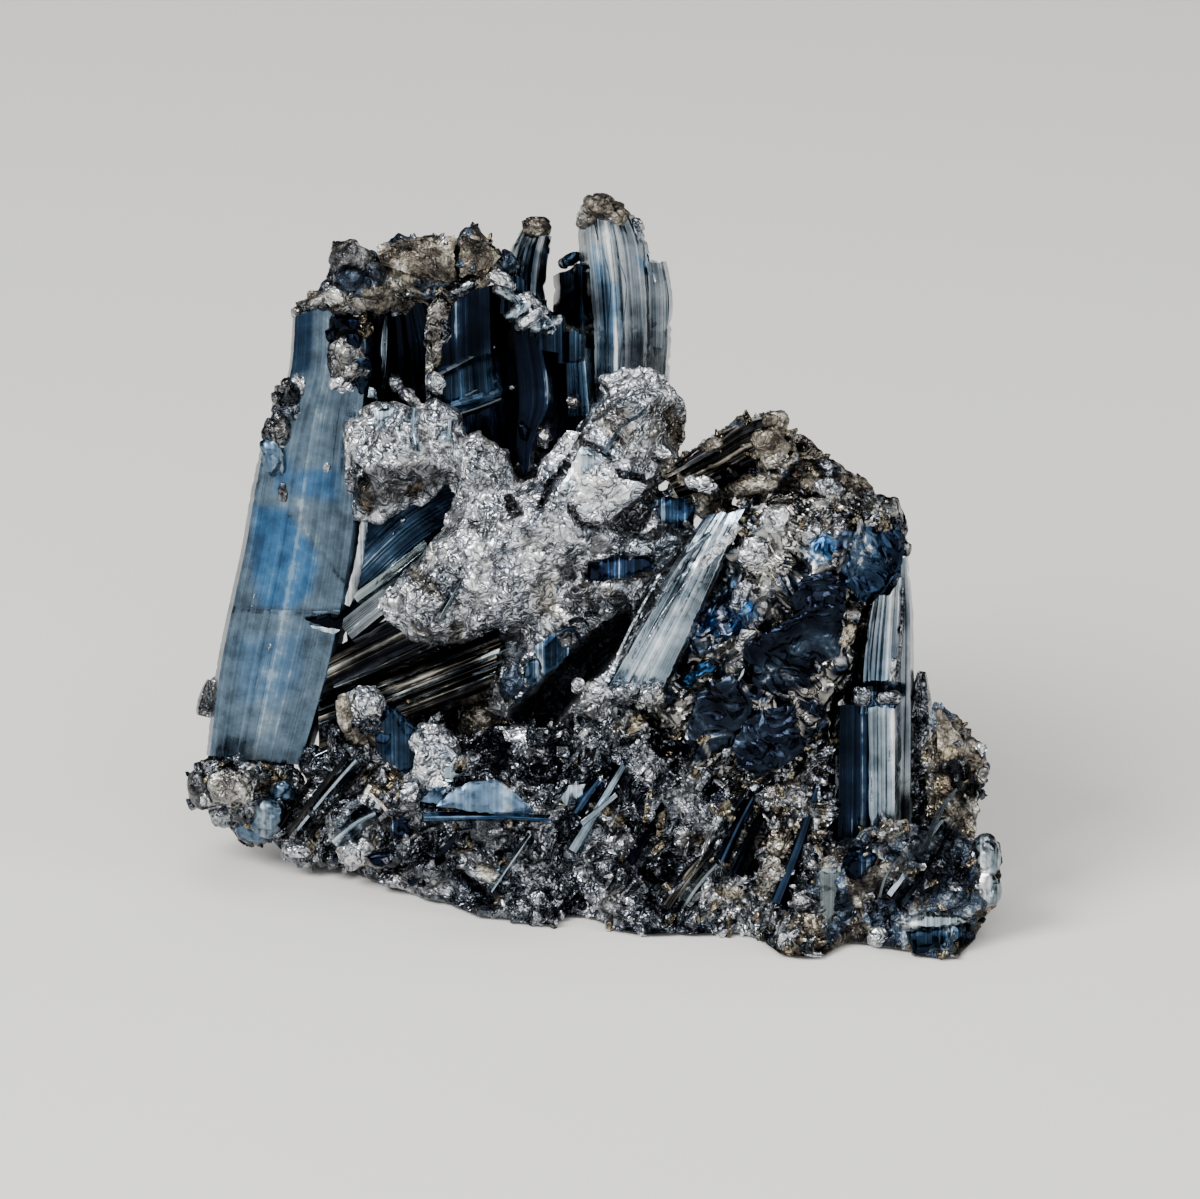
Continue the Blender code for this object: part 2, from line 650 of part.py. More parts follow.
def right_columns():
    outer = blade(stations(
        ((24.0, 8.4), (27.9, 8.3), 10.0),
        ((25.0, 21.8), (27.6, 22.5), 10.0),
        ((25.2, 29.3), (27.4, 29.3), 10.0),
        ((25.6, 33.6), (26.9, 34.9), 10.5),
    ), thick=8.0, ribs=3, seed=65)
    upper = blade(stations(
        ((22.5, 20.7), (26.1, 20.9), 6.85),
        ((23.0, 26.9), (26.3, 27.8), 7.0),
        ((23.6, 30.3), (26.4, 32.7), 7.5),
    ), thick=6.0, ribs=4, relief=0.5, seed=66)
    lower = blade(stations(
        ((23.6, 9.8), (26.4, 9.8), 6.0),
        ((23.5, 15.9), (26.4, 16.1), 6.0),
        ((23.4, 22.1), (26.3, 22.4), 6.2),
    ), thick=6.0, ribs=5, relief=0.6, seed=67)
    dark = blade(stations(
        ((20.5, 9.2), (24.1, 9.0), 7.15),
        ((20.7, 21.8), (23.9, 22.7), 7.6),
    ), thick=6.0, ribs=2, seed=68)
    backing = blade(stations(
        ((19.5, 6.0), (28.5, 6.0), 12.5),
        ((21.5, 22.0), (28.0, 20.0), 13.0),
        ((21.8, 30.0), (26.6, 30.0), 14.0),
    ), thick=8.0, ribs=3, seed=64)
    pointed = blade(stations(
        ((26.6, 9.3), (29.8, 9.3), 10.5),
        ((26.9, 20.8), (29.1, 21.4), 10.5),
        ((28.0, 24.5), (28.6, 24.3), 10.8),
    ), thick=4.5, ribs=2, jag=0.2, seed=69)
    return [backing, outer, upper, lower, dark, pointed]


def corner_crystals():
    corner = mass([
        (29.0, 21.8), (29.8, 21.7), (31.6, 19.6), (32.0, 18.6), (33.4, 17.5),
        (34.2, 16.2), (33.9, 14.9), (33.6, 13.6), (33.0, 11.0), (31.6, 9.1),
        (28.9, 9.1), (28.2, 14.2), (28.6, 19.3),
    ], rim=8, front=(5.2, 4.6, 0.6), back=(16, 15, 0), facet=2.5, rough=0.3, reach=2.4, seed=70)
    knob = mass([
        (31.6, 10.3), (33.8, 10.4), (34.5, 9.5), (34.8, 8.4), (34.7, 7.1), (34.4, 5.0),
        (33.7, 3.8), (33.6, 2.8), (32.6, 1.4), (31.1, 0.1), (29.4, 0.1), (27.5, 0.3),
        (26.5, 2.3), (28.5, 6.1), (30.2, 9.1),
    ], rim=5, front=(1.6, 1.6, 0.6), back=(13, 12, 0), facet=2.3, rough=0.3, reach=3.0, seed=71)
    facets = mass([
        (22.1, 9.9), (24.7, 12.1), (28.1, 11.2), (31.0, 9.6), (31.9, 6.5), (30.6, 2.7),
        (29.0, 0.6), (27.3, 0.6), (25.8, 0.8), (23.3, 1.2), (21.8, 1.3), (20.0, 0.3),
        (18.1, 0.3), (17.0, 2.3), (17.9, 6.5), (20.0, 9.1),
    ], rim=6, front=(2.4, 2.2, 1.6), back=(16, 15, 0), facet=2.6, rough=0.4, reach=3.0, seed=72)
    rising = blade(stations(
        ((22.1, 2.9), (23.5, 1.0), 2.5),
        ((31.5, 10.5), (33.5, 8.4), 5.0),
    ), thick=3.0, ribs=3, seed=73)
    falling = blade(stations(
        ((24.4, 10.4), (26.6, 11.3), 3.6),
        ((28.9, 2.3), (31.0, 3.4), 1.5),
    ), thick=3.4, ribs=2, jag=0.3, seed=74)
    return [facets, falling, rising, knob, corner]


def foot_knobs():
    body = mass([
        (-34.5, 15.0), (-33.7, 16.5), (-32.7, 17.6), (-30.2, 18.0), (-26.8, 17.4),
        (-24.7, 16.7), (-24.7, 13.3), (-25.5, 10.4), (-26.7, 8.3), (-27.5, 9.4),
        (-29.3, 9.0), (-31.4, 10.3), (-32.6, 11.5), (-34.0, 12.4), (-34.6, 13.7),
    ], rim=21, front=(17.8, 17.8, 0), back=(29, 29, 0), facet=2.0, rough=0.4, reach=3.0, seed=80)
    upper_knob = blade(stations(
        ((-32.0, 13.2), (-28.7, 12.8), 16.6),
        ((-31.5, 16.5), (-28.4, 16.2), 16.8),
    ), thick=3.4, ribs=2, jag=0.3, seed=81)
    lower_knob = blade(stations(
        ((-29.2, 10.6), (-26.5, 10.4), 17.2),
        ((-28.9, 13.3), (-26.2, 13.1), 17.4),
    ), thick=3.4, ribs=2, jag=0.3, seed=82)
    return [body, upper_knob, lower_knob]


def back_prisms():
    """The stout prisms that lean up the hidden back of the base."""
    random = Random(97)
    prisms = []
    for i in range(BACK_PRISMS):
        u = -12 + 28 * i / (BACK_PRISMS - 1)
        foot = Vector((u, 25 + random.uniform(-1, 1), 4)) * MM
        lean = Vector((random.uniform(-3, 3), random.uniform(2, 5), random.uniform(16, 24)))
        prisms.append(needle(foot, foot + lean * MM, random.uniform(4.5, 6.5), seed=98 + i))
    return prisms


def granular_base():
    body = mass([
        (-13.3, 5.0), (-14.0, 6.4), (-14.7, 8.1), (-14.6, 12.9), (-12.8, 15.5),
        (-10.2, 17.4), (-7.7, 17.8), (-3.1, 17.6), (-0.9, 20.0), (1.2, 21.8),
        (5.1, 22.3), (8.5, 20.0), (11.5, 17.4), (15.3, 16.3), (20.4, 18.3),
        (22.1, 16.3), (23.1, 9.1), (23.5, 4.8), (22.2, 1.2), (20.0, 0.1), (17.9, 0.1),
        (16.0, 0.3), (14.5, 1.5), (12.9, 2.0), (10.2, 1.9), (7.3, 2.0), (4.8, 1.8),
        (2.1, 2.2), (0.9, 2.9), (-0.3, 3.3), (-2.0, 3.3), (-3.1, 2.6), (-5.2, 2.7),
        (-6.9, 3.1), (-9.8, 3.4), (-11.9, 4.2),
    ], rim=14, front=(9.5, 2.0, 6.0), back=(30, 28, 0), facet=3.5, rough=0.65, reach=4.5,
        seed=90)
    left = mass([
        (-21.2, 22.5), (-19.2, 22.9), (-16.8, 21.7), (-13.6, 20.1), (-10.9, 18.4),
        (-8.9, 16.3), (-8.7, 13.3), (-12.8, 12.5), (-13.4, 9.1), (-14.7, 7.5),
        (-16.7, 6.8), (-19.0, 7.1), (-20.7, 7.6), (-22.3, 7.5), (-23.7, 8.2),
        (-25.2, 7.7), (-26.7, 8.3), (-25.9, 12.5), (-24.2, 15.9), (-22.8, 18.9),
    ], rim=19, front=(17.0, 11.6, 1.0), back=(29, 29, 0), facet=2.7, rough=0.5, reach=3.6, seed=91)
    bed = boulder((2, 22, 4), (25, 13.5, 13.5), rough=0.06, seed=92)
    knob = boulder((-19.2, 13.8, 16.8), (2.2, 2.0, 2.1), rough=0.15, seed=93, detail=1)
    inclined = [
        blade(stations(*rows), thick=3.0, ribs=2, relief=0.3, seed=94 + i)
        for i, rows in enumerate((
            (((-26.0, 9.3), (-23.8, 8.2), 19.0), ((-21.2, 17.9), (-18.9, 16.9), 14.2)),
            (((-23.0, 8.6), (-21.1, 7.6), 18.5), ((-18.9, 15.4), (-17.0, 14.2), 13.9)),
            (((-12.9, 12.9), (-12.8, 11.3), 9.0), ((-9.1, 15.0), (-7.8, 11.5), 6.6)),
        ))
    ]
    shapes = [bed, body, left, knob, *inclined]
    grown_on = list(shapes)
    shapes += sprinkle(grown_on, (-12, 4, 21, 16), 16, 62, (2.6, 4.8), (1.4, 2.4), 5)
    shapes += sprinkle(grown_on, (-23, 9, -11, 19), 7, 65, (1.8, 3.2), (1.1, 1.8), 6)
    shapes += back_prisms()
    return shapes


NODES = (
    ("left_blade", "steel_blue", left_blade),
    ("bright_core", "bright_silver", bright_core),
    ("tall_column", "column_grey", tall_column),
    ("pale_blade", "column_grey", pale_blade),
    ("right_columns", "column_grey", right_columns),
    ("striated_bundle", "column_grey", striated_bundle),
    ("dark_blades", "dark_navy", dark_blades),
    ("crown_crust", "weathered_tan", crown_crust),
    ("small_column", "column_grey", small_column),
    ("back_crystal", "dark_navy", back_crystal),
    ("wedge_blade", "dark_navy", wedge_blade),
    ("ridge_crystal", "weathered_tan", ridge_crystal),
    ("right_block", "dark_navy", right_block),
    ("corner_crystals", "grain_grey", corner_crystals),
    ("foot_knobs", "grain_grey", foot_knobs),
    ("granular_base", "grain_grey", granular_base),
)


def centre_on_base(made):
    """Moves the cluster so that the origin is at the bottom centre of its box."""
    boxes = [box_of(obj) for obj in made]
    low = Vector([min(box[0][i] for box in boxes) for i in range(3)])
    high = Vector([max(box[1][i] for box in boxes) for i in range(3)])
    shift = Vector((-(low.x + high.x) / 2, -(low.y + high.y) / 2, -low.z))
    for obj in made:
        for vert in obj.data.vertices:
            vert.co += shift


def main():
    clear_scene()
    made = []
    for name, finish, maker in NODES:
        made.append(add_node(name, finish, maker(), made))
    centre_on_base(made)


main()
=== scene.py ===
"""Stibnite crystal spray: fine surfaces, finishes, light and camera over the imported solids."""
from __future__ import annotations

import logging
import math
from dataclasses import dataclass
from enum import Enum

import bmesh
import bpy
import numpy as np
from bpy.types import Material, Mesh, Node, NodeSocket, NodeTree, Object
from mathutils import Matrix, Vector, geometry
from mathutils.bvhtree import BVHTree
from numpy.random import Generator


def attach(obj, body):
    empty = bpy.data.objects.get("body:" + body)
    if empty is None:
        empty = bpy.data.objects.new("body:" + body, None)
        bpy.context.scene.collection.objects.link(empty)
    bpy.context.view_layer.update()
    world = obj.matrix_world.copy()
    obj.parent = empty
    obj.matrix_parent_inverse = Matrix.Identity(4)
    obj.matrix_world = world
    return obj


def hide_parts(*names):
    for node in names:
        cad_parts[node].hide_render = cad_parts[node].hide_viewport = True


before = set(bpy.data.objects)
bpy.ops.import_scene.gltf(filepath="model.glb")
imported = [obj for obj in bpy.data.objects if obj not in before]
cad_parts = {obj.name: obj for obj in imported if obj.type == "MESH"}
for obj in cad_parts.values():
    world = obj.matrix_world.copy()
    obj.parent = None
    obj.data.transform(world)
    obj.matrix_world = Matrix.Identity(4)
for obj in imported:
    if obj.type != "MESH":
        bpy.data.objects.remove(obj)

LOG = logging.getLogger("stibnite")
MM = 0.001
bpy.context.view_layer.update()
FACING = 0.1  # most that a front surface's direction may lean back
GRAIN_FACING = 0.15  # the same where grains grow


# -------------------- drawing plane


@dataclass(frozen=True)
class DisplayFace:
    """The plane that the crystals' outlines are drawn on, in millimetres.

    u runs right, v runs up the leaning face, and depth runs back along +Y.
    """

    lean: float = 20.0
    shift: tuple[float, float, float] = (-0.1, -17.0485, 0.0)

    @property
    def sine(self) -> float:
        """Sine of the lean."""
        return math.sin(math.radians(self.lean))

    @property
    def cosine(self) -> float:
        """Cosine of the lean."""
        return math.cos(math.radians(self.lean))

    def place(self, drawn: np.ndarray) -> np.ndarray:
        """Turns drawn places into points of the frame.

        Args:
            drawn: rows of u, v and depth in millimetres.

        Returns:
            Rows of x, y and z in metres.
        """
        u, v, depth = drawn[:, 0], drawn[:, 1], drawn[:, 2]
        z = (v - depth * self.sine) / self.cosine
        return (np.stack([u, depth, z], axis=1) + np.array(self.shift)) * MM

    def drawn(self, points: np.ndarray) -> np.ndarray:
        """Turns points of the frame, in metres, back into u, v and depth.

        Args:
            points: rows of x, y and z in metres.

        Returns:
            Rows of u, v and depth in millimetres.
        """
        local = points / MM - np.array(self.shift)
        u, depth = local[:, 0], local[:, 1]
        return np.stack([u, local[:, 2] * self.cosine + depth * self.sine, depth], axis=1)


FACE = DisplayFace()


# -------------------- mesh parts


@dataclass
class Skin:
    """One closed surface before it becomes a mesh.

    Attributes:
        points: rows of x, y and z in metres.
        faces: rows of three or four point numbers.
        grain: across and along the crystal, in millimetres, for each point.
        tone: 0 where the colour is pulled fully to the painted fold colour, 1 where it is kept, for each
            point; along folds and in set-back hollows this is painted shade.
        tint: 0 for the finish's first colours to 1 for its second, for each point.
        finish: which of its piece's finishes it takes.
    """

    points: np.ndarray
    faces: list[tuple[int, ...]]
    grain: np.ndarray
    tone: np.ndarray
    tint: np.ndarray
    finish: int = 0


class Bed:
    """A surface that other pieces are seated on."""

    NEAR, MIDDLE, FAR = -20.0, 12.0, 60.0  # depths in front of, within and behind it, mm

    def __init__(self, skin: Skin) -> None:
        """Takes the surface and readies it for finding its front."""
        self.skin = skin
        self.tree = BVHTree.FromPolygons(skin.points.tolist(), skin.faces)

    def depth(self, u: float, v: float) -> float:
        """How deep its front lies at a place on the display face, in mm.

        Args:
            u: millimetres to the right.
            v: millimetres up the face.

        Returns:
            The depth, or that of the nearest place where the surface isn't met.
        """
        ends = FACE.place(np.array([[u, v, self.NEAR], [u, v, self.FAR]]))
        start, end = Vector(ends[0]), Vector(ends[1])
        hit = self.tree.ray_cast(start, (end - start).normalized())[0]
        if hit is None:
            hit = self.tree.find_nearest(
                Vector(FACE.place(np.array([[u, v, self.MIDDLE]]))[0]))[0]
        return float(FACE.drawn(np.array([hit]))[0, 2])


def tenths(text: str, wide: int = 2) -> np.ndarray:
    """Rows of millimetres from a text of tenths.

    Args:
        text: the numbers, row after row.
        wide: how many stand in each row.

    Returns:
        The rows.
    """
    return np.array(text.split(), dtype=float).reshape(-1, wide) / 10


def grounded(points: np.ndarray) -> np.ndarray:
    """The points, with those under the floor lifted onto it."""
    points[:, 2] = np.maximum(points[:, 2], 0.0)
    return points


def inside(outline: np.ndarray, places: np.ndarray) -> np.ndarray:
    """Which places lie within an outline, by counting crossings to their right.

    Args:
        outline: its corners, u and v.
        places: rows of u and v.

    Returns:
        True for each place within.
    """
    crossed = np.zeros(len(places), dtype=bool)
    u, v = places[:, 0], places[:, 1]
    for (u0, v0), (u1, v1) in zip(outline, np.roll(outline, -1, axis=0)):
        across = (v0 > v) != (v1 > v)
        rise = v1 - v0 if v1 != v0 else 1e-9
        crossed ^= across & (u < u0 + (u1 - u0) * (v - v0) / rise)
    return crossed


def edge_distance(outline: np.ndarray, places: np.ndarray) -> np.ndarray:
    """How far each place is from the nearest edge of an outline.

    Args:
        outline: its corners, u and v.
        places: rows of u and v.

    Returns:
        One distance for each place.
    """
    nearest = np.full(len(places), np.inf)
    for start, end in zip(outline, np.roll(outline, -1, axis=0)):
        run = end - start
        share = np.clip(((places - start) @ run) / max(float(run @ run), 1e-9), 0, 1)
        nearest = np.minimum(nearest, np.linalg.norm(
            places - (start + share[:, None] * run), axis=1))
    return nearest


def outward(skin: Skin) -> np.ndarray:
    """The outward direction of a surface at each of its points.

    Args:
        skin: the surface.

    Returns:
        Rows of unit length.
    """
    corners = np.array([face[:3] for face in skin.faces])
    a, b, c = (skin.points[corners[:, i]] for i in range(3))
    turned = np.cross(b - a, c - a)
    swelling = float((a * turned).sum()) - float(skin.points.mean(axis=0) @ turned.sum(axis=0))
    total = np.zeros_like(skin.points)
    for i in range(3):
        np.add.at(total, corners[:, i], turned)
    total *= 1 if swelling > 0 else -1
    return total / (np.linalg.norm(total, axis=1, keepdims=True) + 1e-18)


def joined(skins: list[Skin]) -> Skin:
    """Several surfaces as one.

    Args:
        skins: the surfaces.

    Returns:
        One surface, with the first one's finish.
    """
    faces: list[tuple[int, ...]] = []
    start = 0
    for skin in skins:
        faces += [tuple(start + n for n in face) for face in skin.faces]
        start += len(skin.points)
    return Skin(np.concatenate([skin.points for skin in skins]), faces,
                np.concatenate([skin.grain for skin in skins]),
                np.concatenate([skin.tone for skin in skins]),
                np.concatenate([skin.tint for skin in skins]), skins[0].finish)


def ease(low: float, high: float, value: np.ndarray) -> np.ndarray:
    """A smooth step from 0 at low to 1 at high."""
    share = np.clip((value - low) / (high - low), 0.0, 1.0)
    return share * share * (3 - 2 * share)


@dataclass(frozen=True)
class Stain:
    """A drawn patch of a surface that differs in colour, darkness or depth.

    Attributes:
        outline: its corners, u and v, in tenths of a millimetre.
        tone: 0 for dark to 1 for unchanged inside it, if that changes; where the patch is also set back as
            a groove, crack or hollow, its darkening is painted shade.
        soft: width of its blurred edge, mm.
        push: how far the surface is set back inside it, mm.
        tint: the finish's colour inside it, 0 to 1, if that changes.
    """

    outline: str
    tone: float | None = None
    soft: float = 0.3
    push: float = 0.0
    tint: float | None = None

    def apply(self, skin: Skin, front: np.ndarray) -> None:
        """Marks the patch on a surface.

        Args:
            skin: the surface to mark.
            front: which of its points face the front.
        """
        drawn = FACE.drawn(skin.points)
        outline = tenths(self.outline)
        low, high = outline.min(axis=0) - self.soft, outline.max(axis=0) + self.soft
        near = front & (drawn[:, :2] > low).all(axis=1) & (drawn[:, :2] < high).all(axis=1)
        spots = np.flatnonzero(near)
        if not len(spots):
            return
        places = drawn[spots, :2]
        away = edge_distance(outline, places) * np.where(inside(outline, places), 1, -1)
        share = ease(-self.soft, self.soft, away)
        if self.tint is not None:
            skin.tint[spots] += (self.tint - skin.tint[spots]) * share
        if self.tone is not None:
            skin.tone[spots] *= 1 - (1 - self.tone) * share
        drawn[spots, 2] += self.push * share
        skin.points[spots] = grounded(FACE.place(drawn[spots]))


def through(rows: np.ndarray, share: np.ndarray) -> np.ndarray:
    """A smooth curve through rows, read at shares of its length.

    Args:
        rows: the points that the curve goes through.
        share: places along it from 0 to 1.

    Returns:
        One row for each share.
    """
    steps = np.linalg.norm(np.diff(rows, axis=0), axis=1)
    knots = np.concatenate([[0.0], np.cumsum(steps)]) / steps.sum()
    slopes = np.gradient(rows, knots, axis=0)
    spot = np.clip(np.searchsorted(knots, share, side="right") - 1, 0, len(knots) - 2)
    width = (knots[spot + 1] - knots[spot])[:, None]
    t = (share - knots[spot])[:, None] / width
    return ((2 * t**3 - 3 * t**2 + 1) * rows[spot] + (t**3 - 2 * t**2 + t) * width * slopes[spot]
            + (-2 * t**3 + 3 * t**2) * rows[spot + 1]
            + (t**3 - t**2) * width * slopes[spot + 1])


@dataclass(frozen=True)
class FacetField:
    """Flat facets that tilt every way, as crumpled or intergrown crystal has them.

    Attributes:
        size: usual width of a facet, mm.
        tilt: how steeply facets lean, as a slope.
        lift: how far they stand above or below each other, mm.
        seed: which arrangement.
        warp: how wavy their edges are, as a share of the size.
        groove: how deep the folds between them are, mm.
        stretch: how much longer than wide they are.
        lean: direction that they are long in, in degrees from +X in the upright plane.
    """

    size: float
    tilt: float
    lift: float
    seed: int
    warp: float = 0.25
    groove: float = 0.0
    stretch: float = 1.0
    lean: float = 90.0

    def sample(self, points: np.ndarray) -> tuple[np.ndarray, np.ndarray]:
        """Reads the field.

        Args:
            points: rows of x, y and z in millimetres.

        Returns:
            The height in millimetres, and how near each point is to a facet's edge, 0 on it.
        """
        spots = self._bent(points)
        cell = np.floor(spots / self.size).astype(np.int64)
        first = np.full(len(points), np.inf)
        second = np.full(len(points), np.inf)
        height = np.zeros(len(points))
        other = np.zeros(len(points))
        for step in np.ndindex(3, 3, 3):
            key = cell + np.array(step) - 1
            rolls = self._rolls(key)
            offset = spots - (key + rolls[:, :3]) * self.size
            away = np.linalg.norm(offset, axis=1)
            slope = (rolls[:, 3:6] - 0.5) * 2 * self.tilt
            here = (offset * slope).sum(axis=1) + (rolls[:, 6] - 0.5) * 2 * self.lift
            nearer, next_best = away < first, away < second
            other = np.where(nearer, height, np.where(next_best, here, other))
            second = np.where(nearer, first, np.where(next_best, away, second))
            height = np.where(nearer, here, height)
            first = np.where(nearer, away, first)
        edge = np.clip((second - first) / (0.35 * self.size), 0.0, 1.0)
        blend = 0.5 * (1 - np.clip(edge * 1.6, 0.0, 1.0))
        height = height * (1 - blend) + other * blend
        return height - self.groove * (1 - edge) ** 2, edge

    def _bent(self, points: np.ndarray) -> np.ndarray:
        """The points, waved and drawn out so that facets get curved edges and a direction.

        Args:
            points: rows of x, y and z in millimetres.

        Returns:
            The places that cells are laid out in.
        """
        x, y, z = points.T
        pace, swirl = 1.3 / self.size, self.warp * self.size
        x, y, z = (x + swirl * np.sin(1.7 * pace * y + pace * z + self.seed),
                   y + swirl * np.sin(1.5 * pace * z + 0.8 * pace * x + 1.3),
                   z + swirl * np.sin(1.6 * pace * x + 1.1 * pace * y + 2.1))
        cosine, sine = math.cos(math.radians(self.lean)), math.sin(math.radians(self.lean))
        along, across = x * cosine + z * sine, z * cosine - x * sine
        return np.stack([along / self.stretch, y, across], axis=1)

    def _rolls(self, key: np.ndarray) -> np.ndarray:
        """Seven steady random numbers for each cell.

        Args:
            key: rows of cell numbers.

        Returns:
            Seven numbers from 0 to 1 in each row.
        """
        mixed = (key[:, 0] * 73856093) ^ (key[:, 1] * 19349663) ^ (key[:, 2] * 83492791)
        mixed = (mixed ^ (self.seed * 2654435761)) & 0xFFFFFFFF
        rolls = []
        for turn in range(7):
            mixed = (mixed * 1664525 + 1013904223 + turn * 97) & 0xFFFFFFFF
            stirred = mixed ^ (mixed >> 13)
            stirred = (stirred * 1274126177) & 0xFFFFFFFF
            rolls.append(((stirred ^ (stirred >> 16)) & 0xFFFF) / 65536.0)
        return np.stack(rolls, axis=1)


@dataclass(frozen=True)
class Prism:
    """A prism with striations along it, lofted between its two drawn edges.

    Attributes:
        rows: left edge's u and v, right edge's u and v and front depth, from foot to tip,
            in tenths of a millimetre.
        thick: front to back, mm.
        strip: usual width of a striation, mm.
        relief: how far a striation's edges stand above or below its neighbours', mm.
        ends: how unevenly the strips break off at the tip, mm.
        finish: which of its piece's finishes it takes.
        seed: which arrangement of strips.
        pitch: how far apart its cross-sections are, mm.
        tints: places along it, 0 to 1, with the tint that each has.
        tone: 1 for its finish's own colours, less to pull them towards the painted fold colour.
        chamfer: share of the width that each edge's bevel takes.
        wander: how much its edges are nicked, mm.
        crest: share of the width where a ridge stands, and how far the edges fall from it, mm.
    """

    rows: str
    thick: float = 5.0
    strip: float = 0.3
    relief: float = 0.1
    ends: float = 0.8
    finish: int = 0
    seed: int = 1
    pitch: float = 0.45
    tints: tuple[tuple[float, float], ...] = ((0.0, 0.0),)
    tone: float = 1.0
    chamfer: float = 0.08
    wander: float = 0.12
    crest: tuple[float, float] | None = None

    def build(self) -> Skin:
        """Makes the prism's surface."""
        return self.loft(tenths(self.rows, 5))

    def loft(self, table: np.ndarray) -> Skin:
        """Makes the surface from its two edges.

        Args:
            table: rows of left u and v, right u and v and depth, mm.

        Returns:
            Its surface.
        """
        random = np.random.default_rng(self.seed)
        length = float(np.linalg.norm(
            np.diff((table[:, 0:2] + table[:, 2:4]) / 2, axis=0), axis=1).sum())
        width = float(np.linalg.norm(table[:, 2:4] - table[:, 0:2], axis=1).mean())
        lanes, heights = self._lanes(random, width)
        back_lanes = np.linspace(0.0, 1.0, max(6, len(lanes) // 4))
        steps = max(12, int(length / self.pitch))
        along = np.linspace(0.0, 1.0, steps)
        drop = self._drop(random, np.linspace(0, 1, 400)) / length
        ring_share = np.concatenate([lanes, [1.0, 1.0, 1.0], back_lanes[::-1], [0.0, 0.0, 0.0]])
        front = self._front(lanes, heights)
        side = self.thick * np.array([0.42, 0.58, 0.72])
        back = self._back(random, back_lanes)
        ring_depth = np.concatenate([front, side, back[::-1], side[::-1]])
        reach = np.interp(ring_share, np.linspace(0, 1, 400), drop)
        grid = along[:, None] * (1 - reach[None, :])
        curve = through(table, grid.ravel()).reshape(steps, len(ring_share), 5)
        share = ring_share[None, :, None]
        place = curve[:, :, 0:2] * (1 - share) + curve[:, :, 2:4] * share
        swing = self._swing(random, steps, len(lanes), ring_share)
        depth = curve[:, :, 4] + ring_depth[None, :] + swing
        drawn = np.concatenate([place, depth[:, :, None]], axis=2)
        drawn = self._chip_edges(random, drawn, ring_share, width)
        points = grounded(FACE.place(drawn.reshape(-1, 3)))
        count = len(ring_share)
        faces = [
            (r * count + i, r * count + (i + 1) % count,
             (r + 1) * count + (i + 1) % count, (r + 1) * count + i)
            for r in range(steps - 1) for i in range(count)
        ]
        faces += self._caps(len(lanes), len(back_lanes), steps, count)
        round_it = np.concatenate([
            lanes * width, width + side, width + self.thick + (1 - back_lanes[::-1]) * width,
            2 * width + self.thick + side])
        grain = np.stack([
            np.broadcast_to(round_it[None, :], (steps, count)),
            grid * length], axis=2).reshape(-1, 2)
        stops = np.array(self.tints)
        tint = np.interp(grid.ravel(), stops[:, 0], stops[:, 1])
        tone = np.full(len(points), self.tone, float)
        return Skin(points, faces, grain, tone, tint, self.finish)

    def _lanes(self, random: Generator, width: float) -> tuple[np.ndarray, np.ndarray]:
        """Where the striations' edges lie across the front, and how high each edge stands.

        Args:
            random: the dice.
            width: the prism's width, mm.

        Returns:
            The edges' shares of the width, and their heights in mm.
        """
        edges = [0.0]
        while edges[-1] < 1.0:
            edges.append(edges[-1] + self.strip / width * random.lognormal(-0.15, 0.6))
        edges = np.array(edges) / edges[-1]
        gap = min(0.02 / width, 0.2 * float(np.diff(edges).min()))
        lanes, heights = [], []
        level = 0.0
        for low, high in zip(edges, edges[1:]):
            level = level * 0.7 + random.normal(0, self.relief * 0.5)
            tilt = random.normal(0, self.relief * 0.5) * min(2.0, (high - low) * width / self.strip)
            lanes += [low + gap, high - gap]
            heights += [level - tilt, level + tilt]
        lanes[0], lanes[-1] = 0.0, 1.0
        return np.array(lanes), np.clip(np.array(heights), -2.2 * self.relief, 2.2 * self.relief)

    def _front(self, lanes: np.ndarray, heights: np.ndarray) -> np.ndarray:
        """How far the front lies behind the drawn depth at each lane.

        Args:
            lanes: the edges' shares of the width.
            heights: their heights, mm.

        Returns:
            One depth for each lane, mm.
        """
        depth = self._fall(lanes, self.chamfer) * self.thick * 0.3 + heights + self.relief
        if self.crest:
            top, drop = self.crest
            depth = depth + drop * np.abs(lanes - top) / max(top, 1 - top)
        return depth

    def _back(self, random: Generator, lanes: np.ndarray) -> np.ndarray:
        """How far the back lies behind the drawn depth at each lane."""
        fall = self._fall(lanes, self.chamfer * 2)
        return self.thick - fall * self.thick * 0.25 - random.uniform(0, self.relief, len(lanes))

    def _fall(self, lanes: np.ndarray, bevel: float) -> np.ndarray:
        """How far each lane lies down the bevel along either edge, 0 to 1."""
        return np.maximum(0, (bevel - lanes) / bevel) + np.maximum(0, (lanes - 1 + bevel) / bevel)

    def _drop(self, random: Generator, shares: np.ndarray) -> np.ndarray:
        """How far short of the tip the strips break off across the width.

        Args:
            random: the dice.
            shares: places across the width.

        Returns:
            How far short each place ends, mm.
        """
        drop = np.zeros(len(shares))
        for wide in (0.28, 0.13, 0.05):
            spot, level = 0.0, random.uniform(0, 1)
            while spot < 1.0:
                until = spot + wide * random.uniform(0.5, 1.5)
                drop[(shares >= spot) & (shares < until)] += level * wide / 0.28
                spot, level = until, random.uniform(0, 1)
        return drop / max(drop.max(), 1e-6) * self.ends

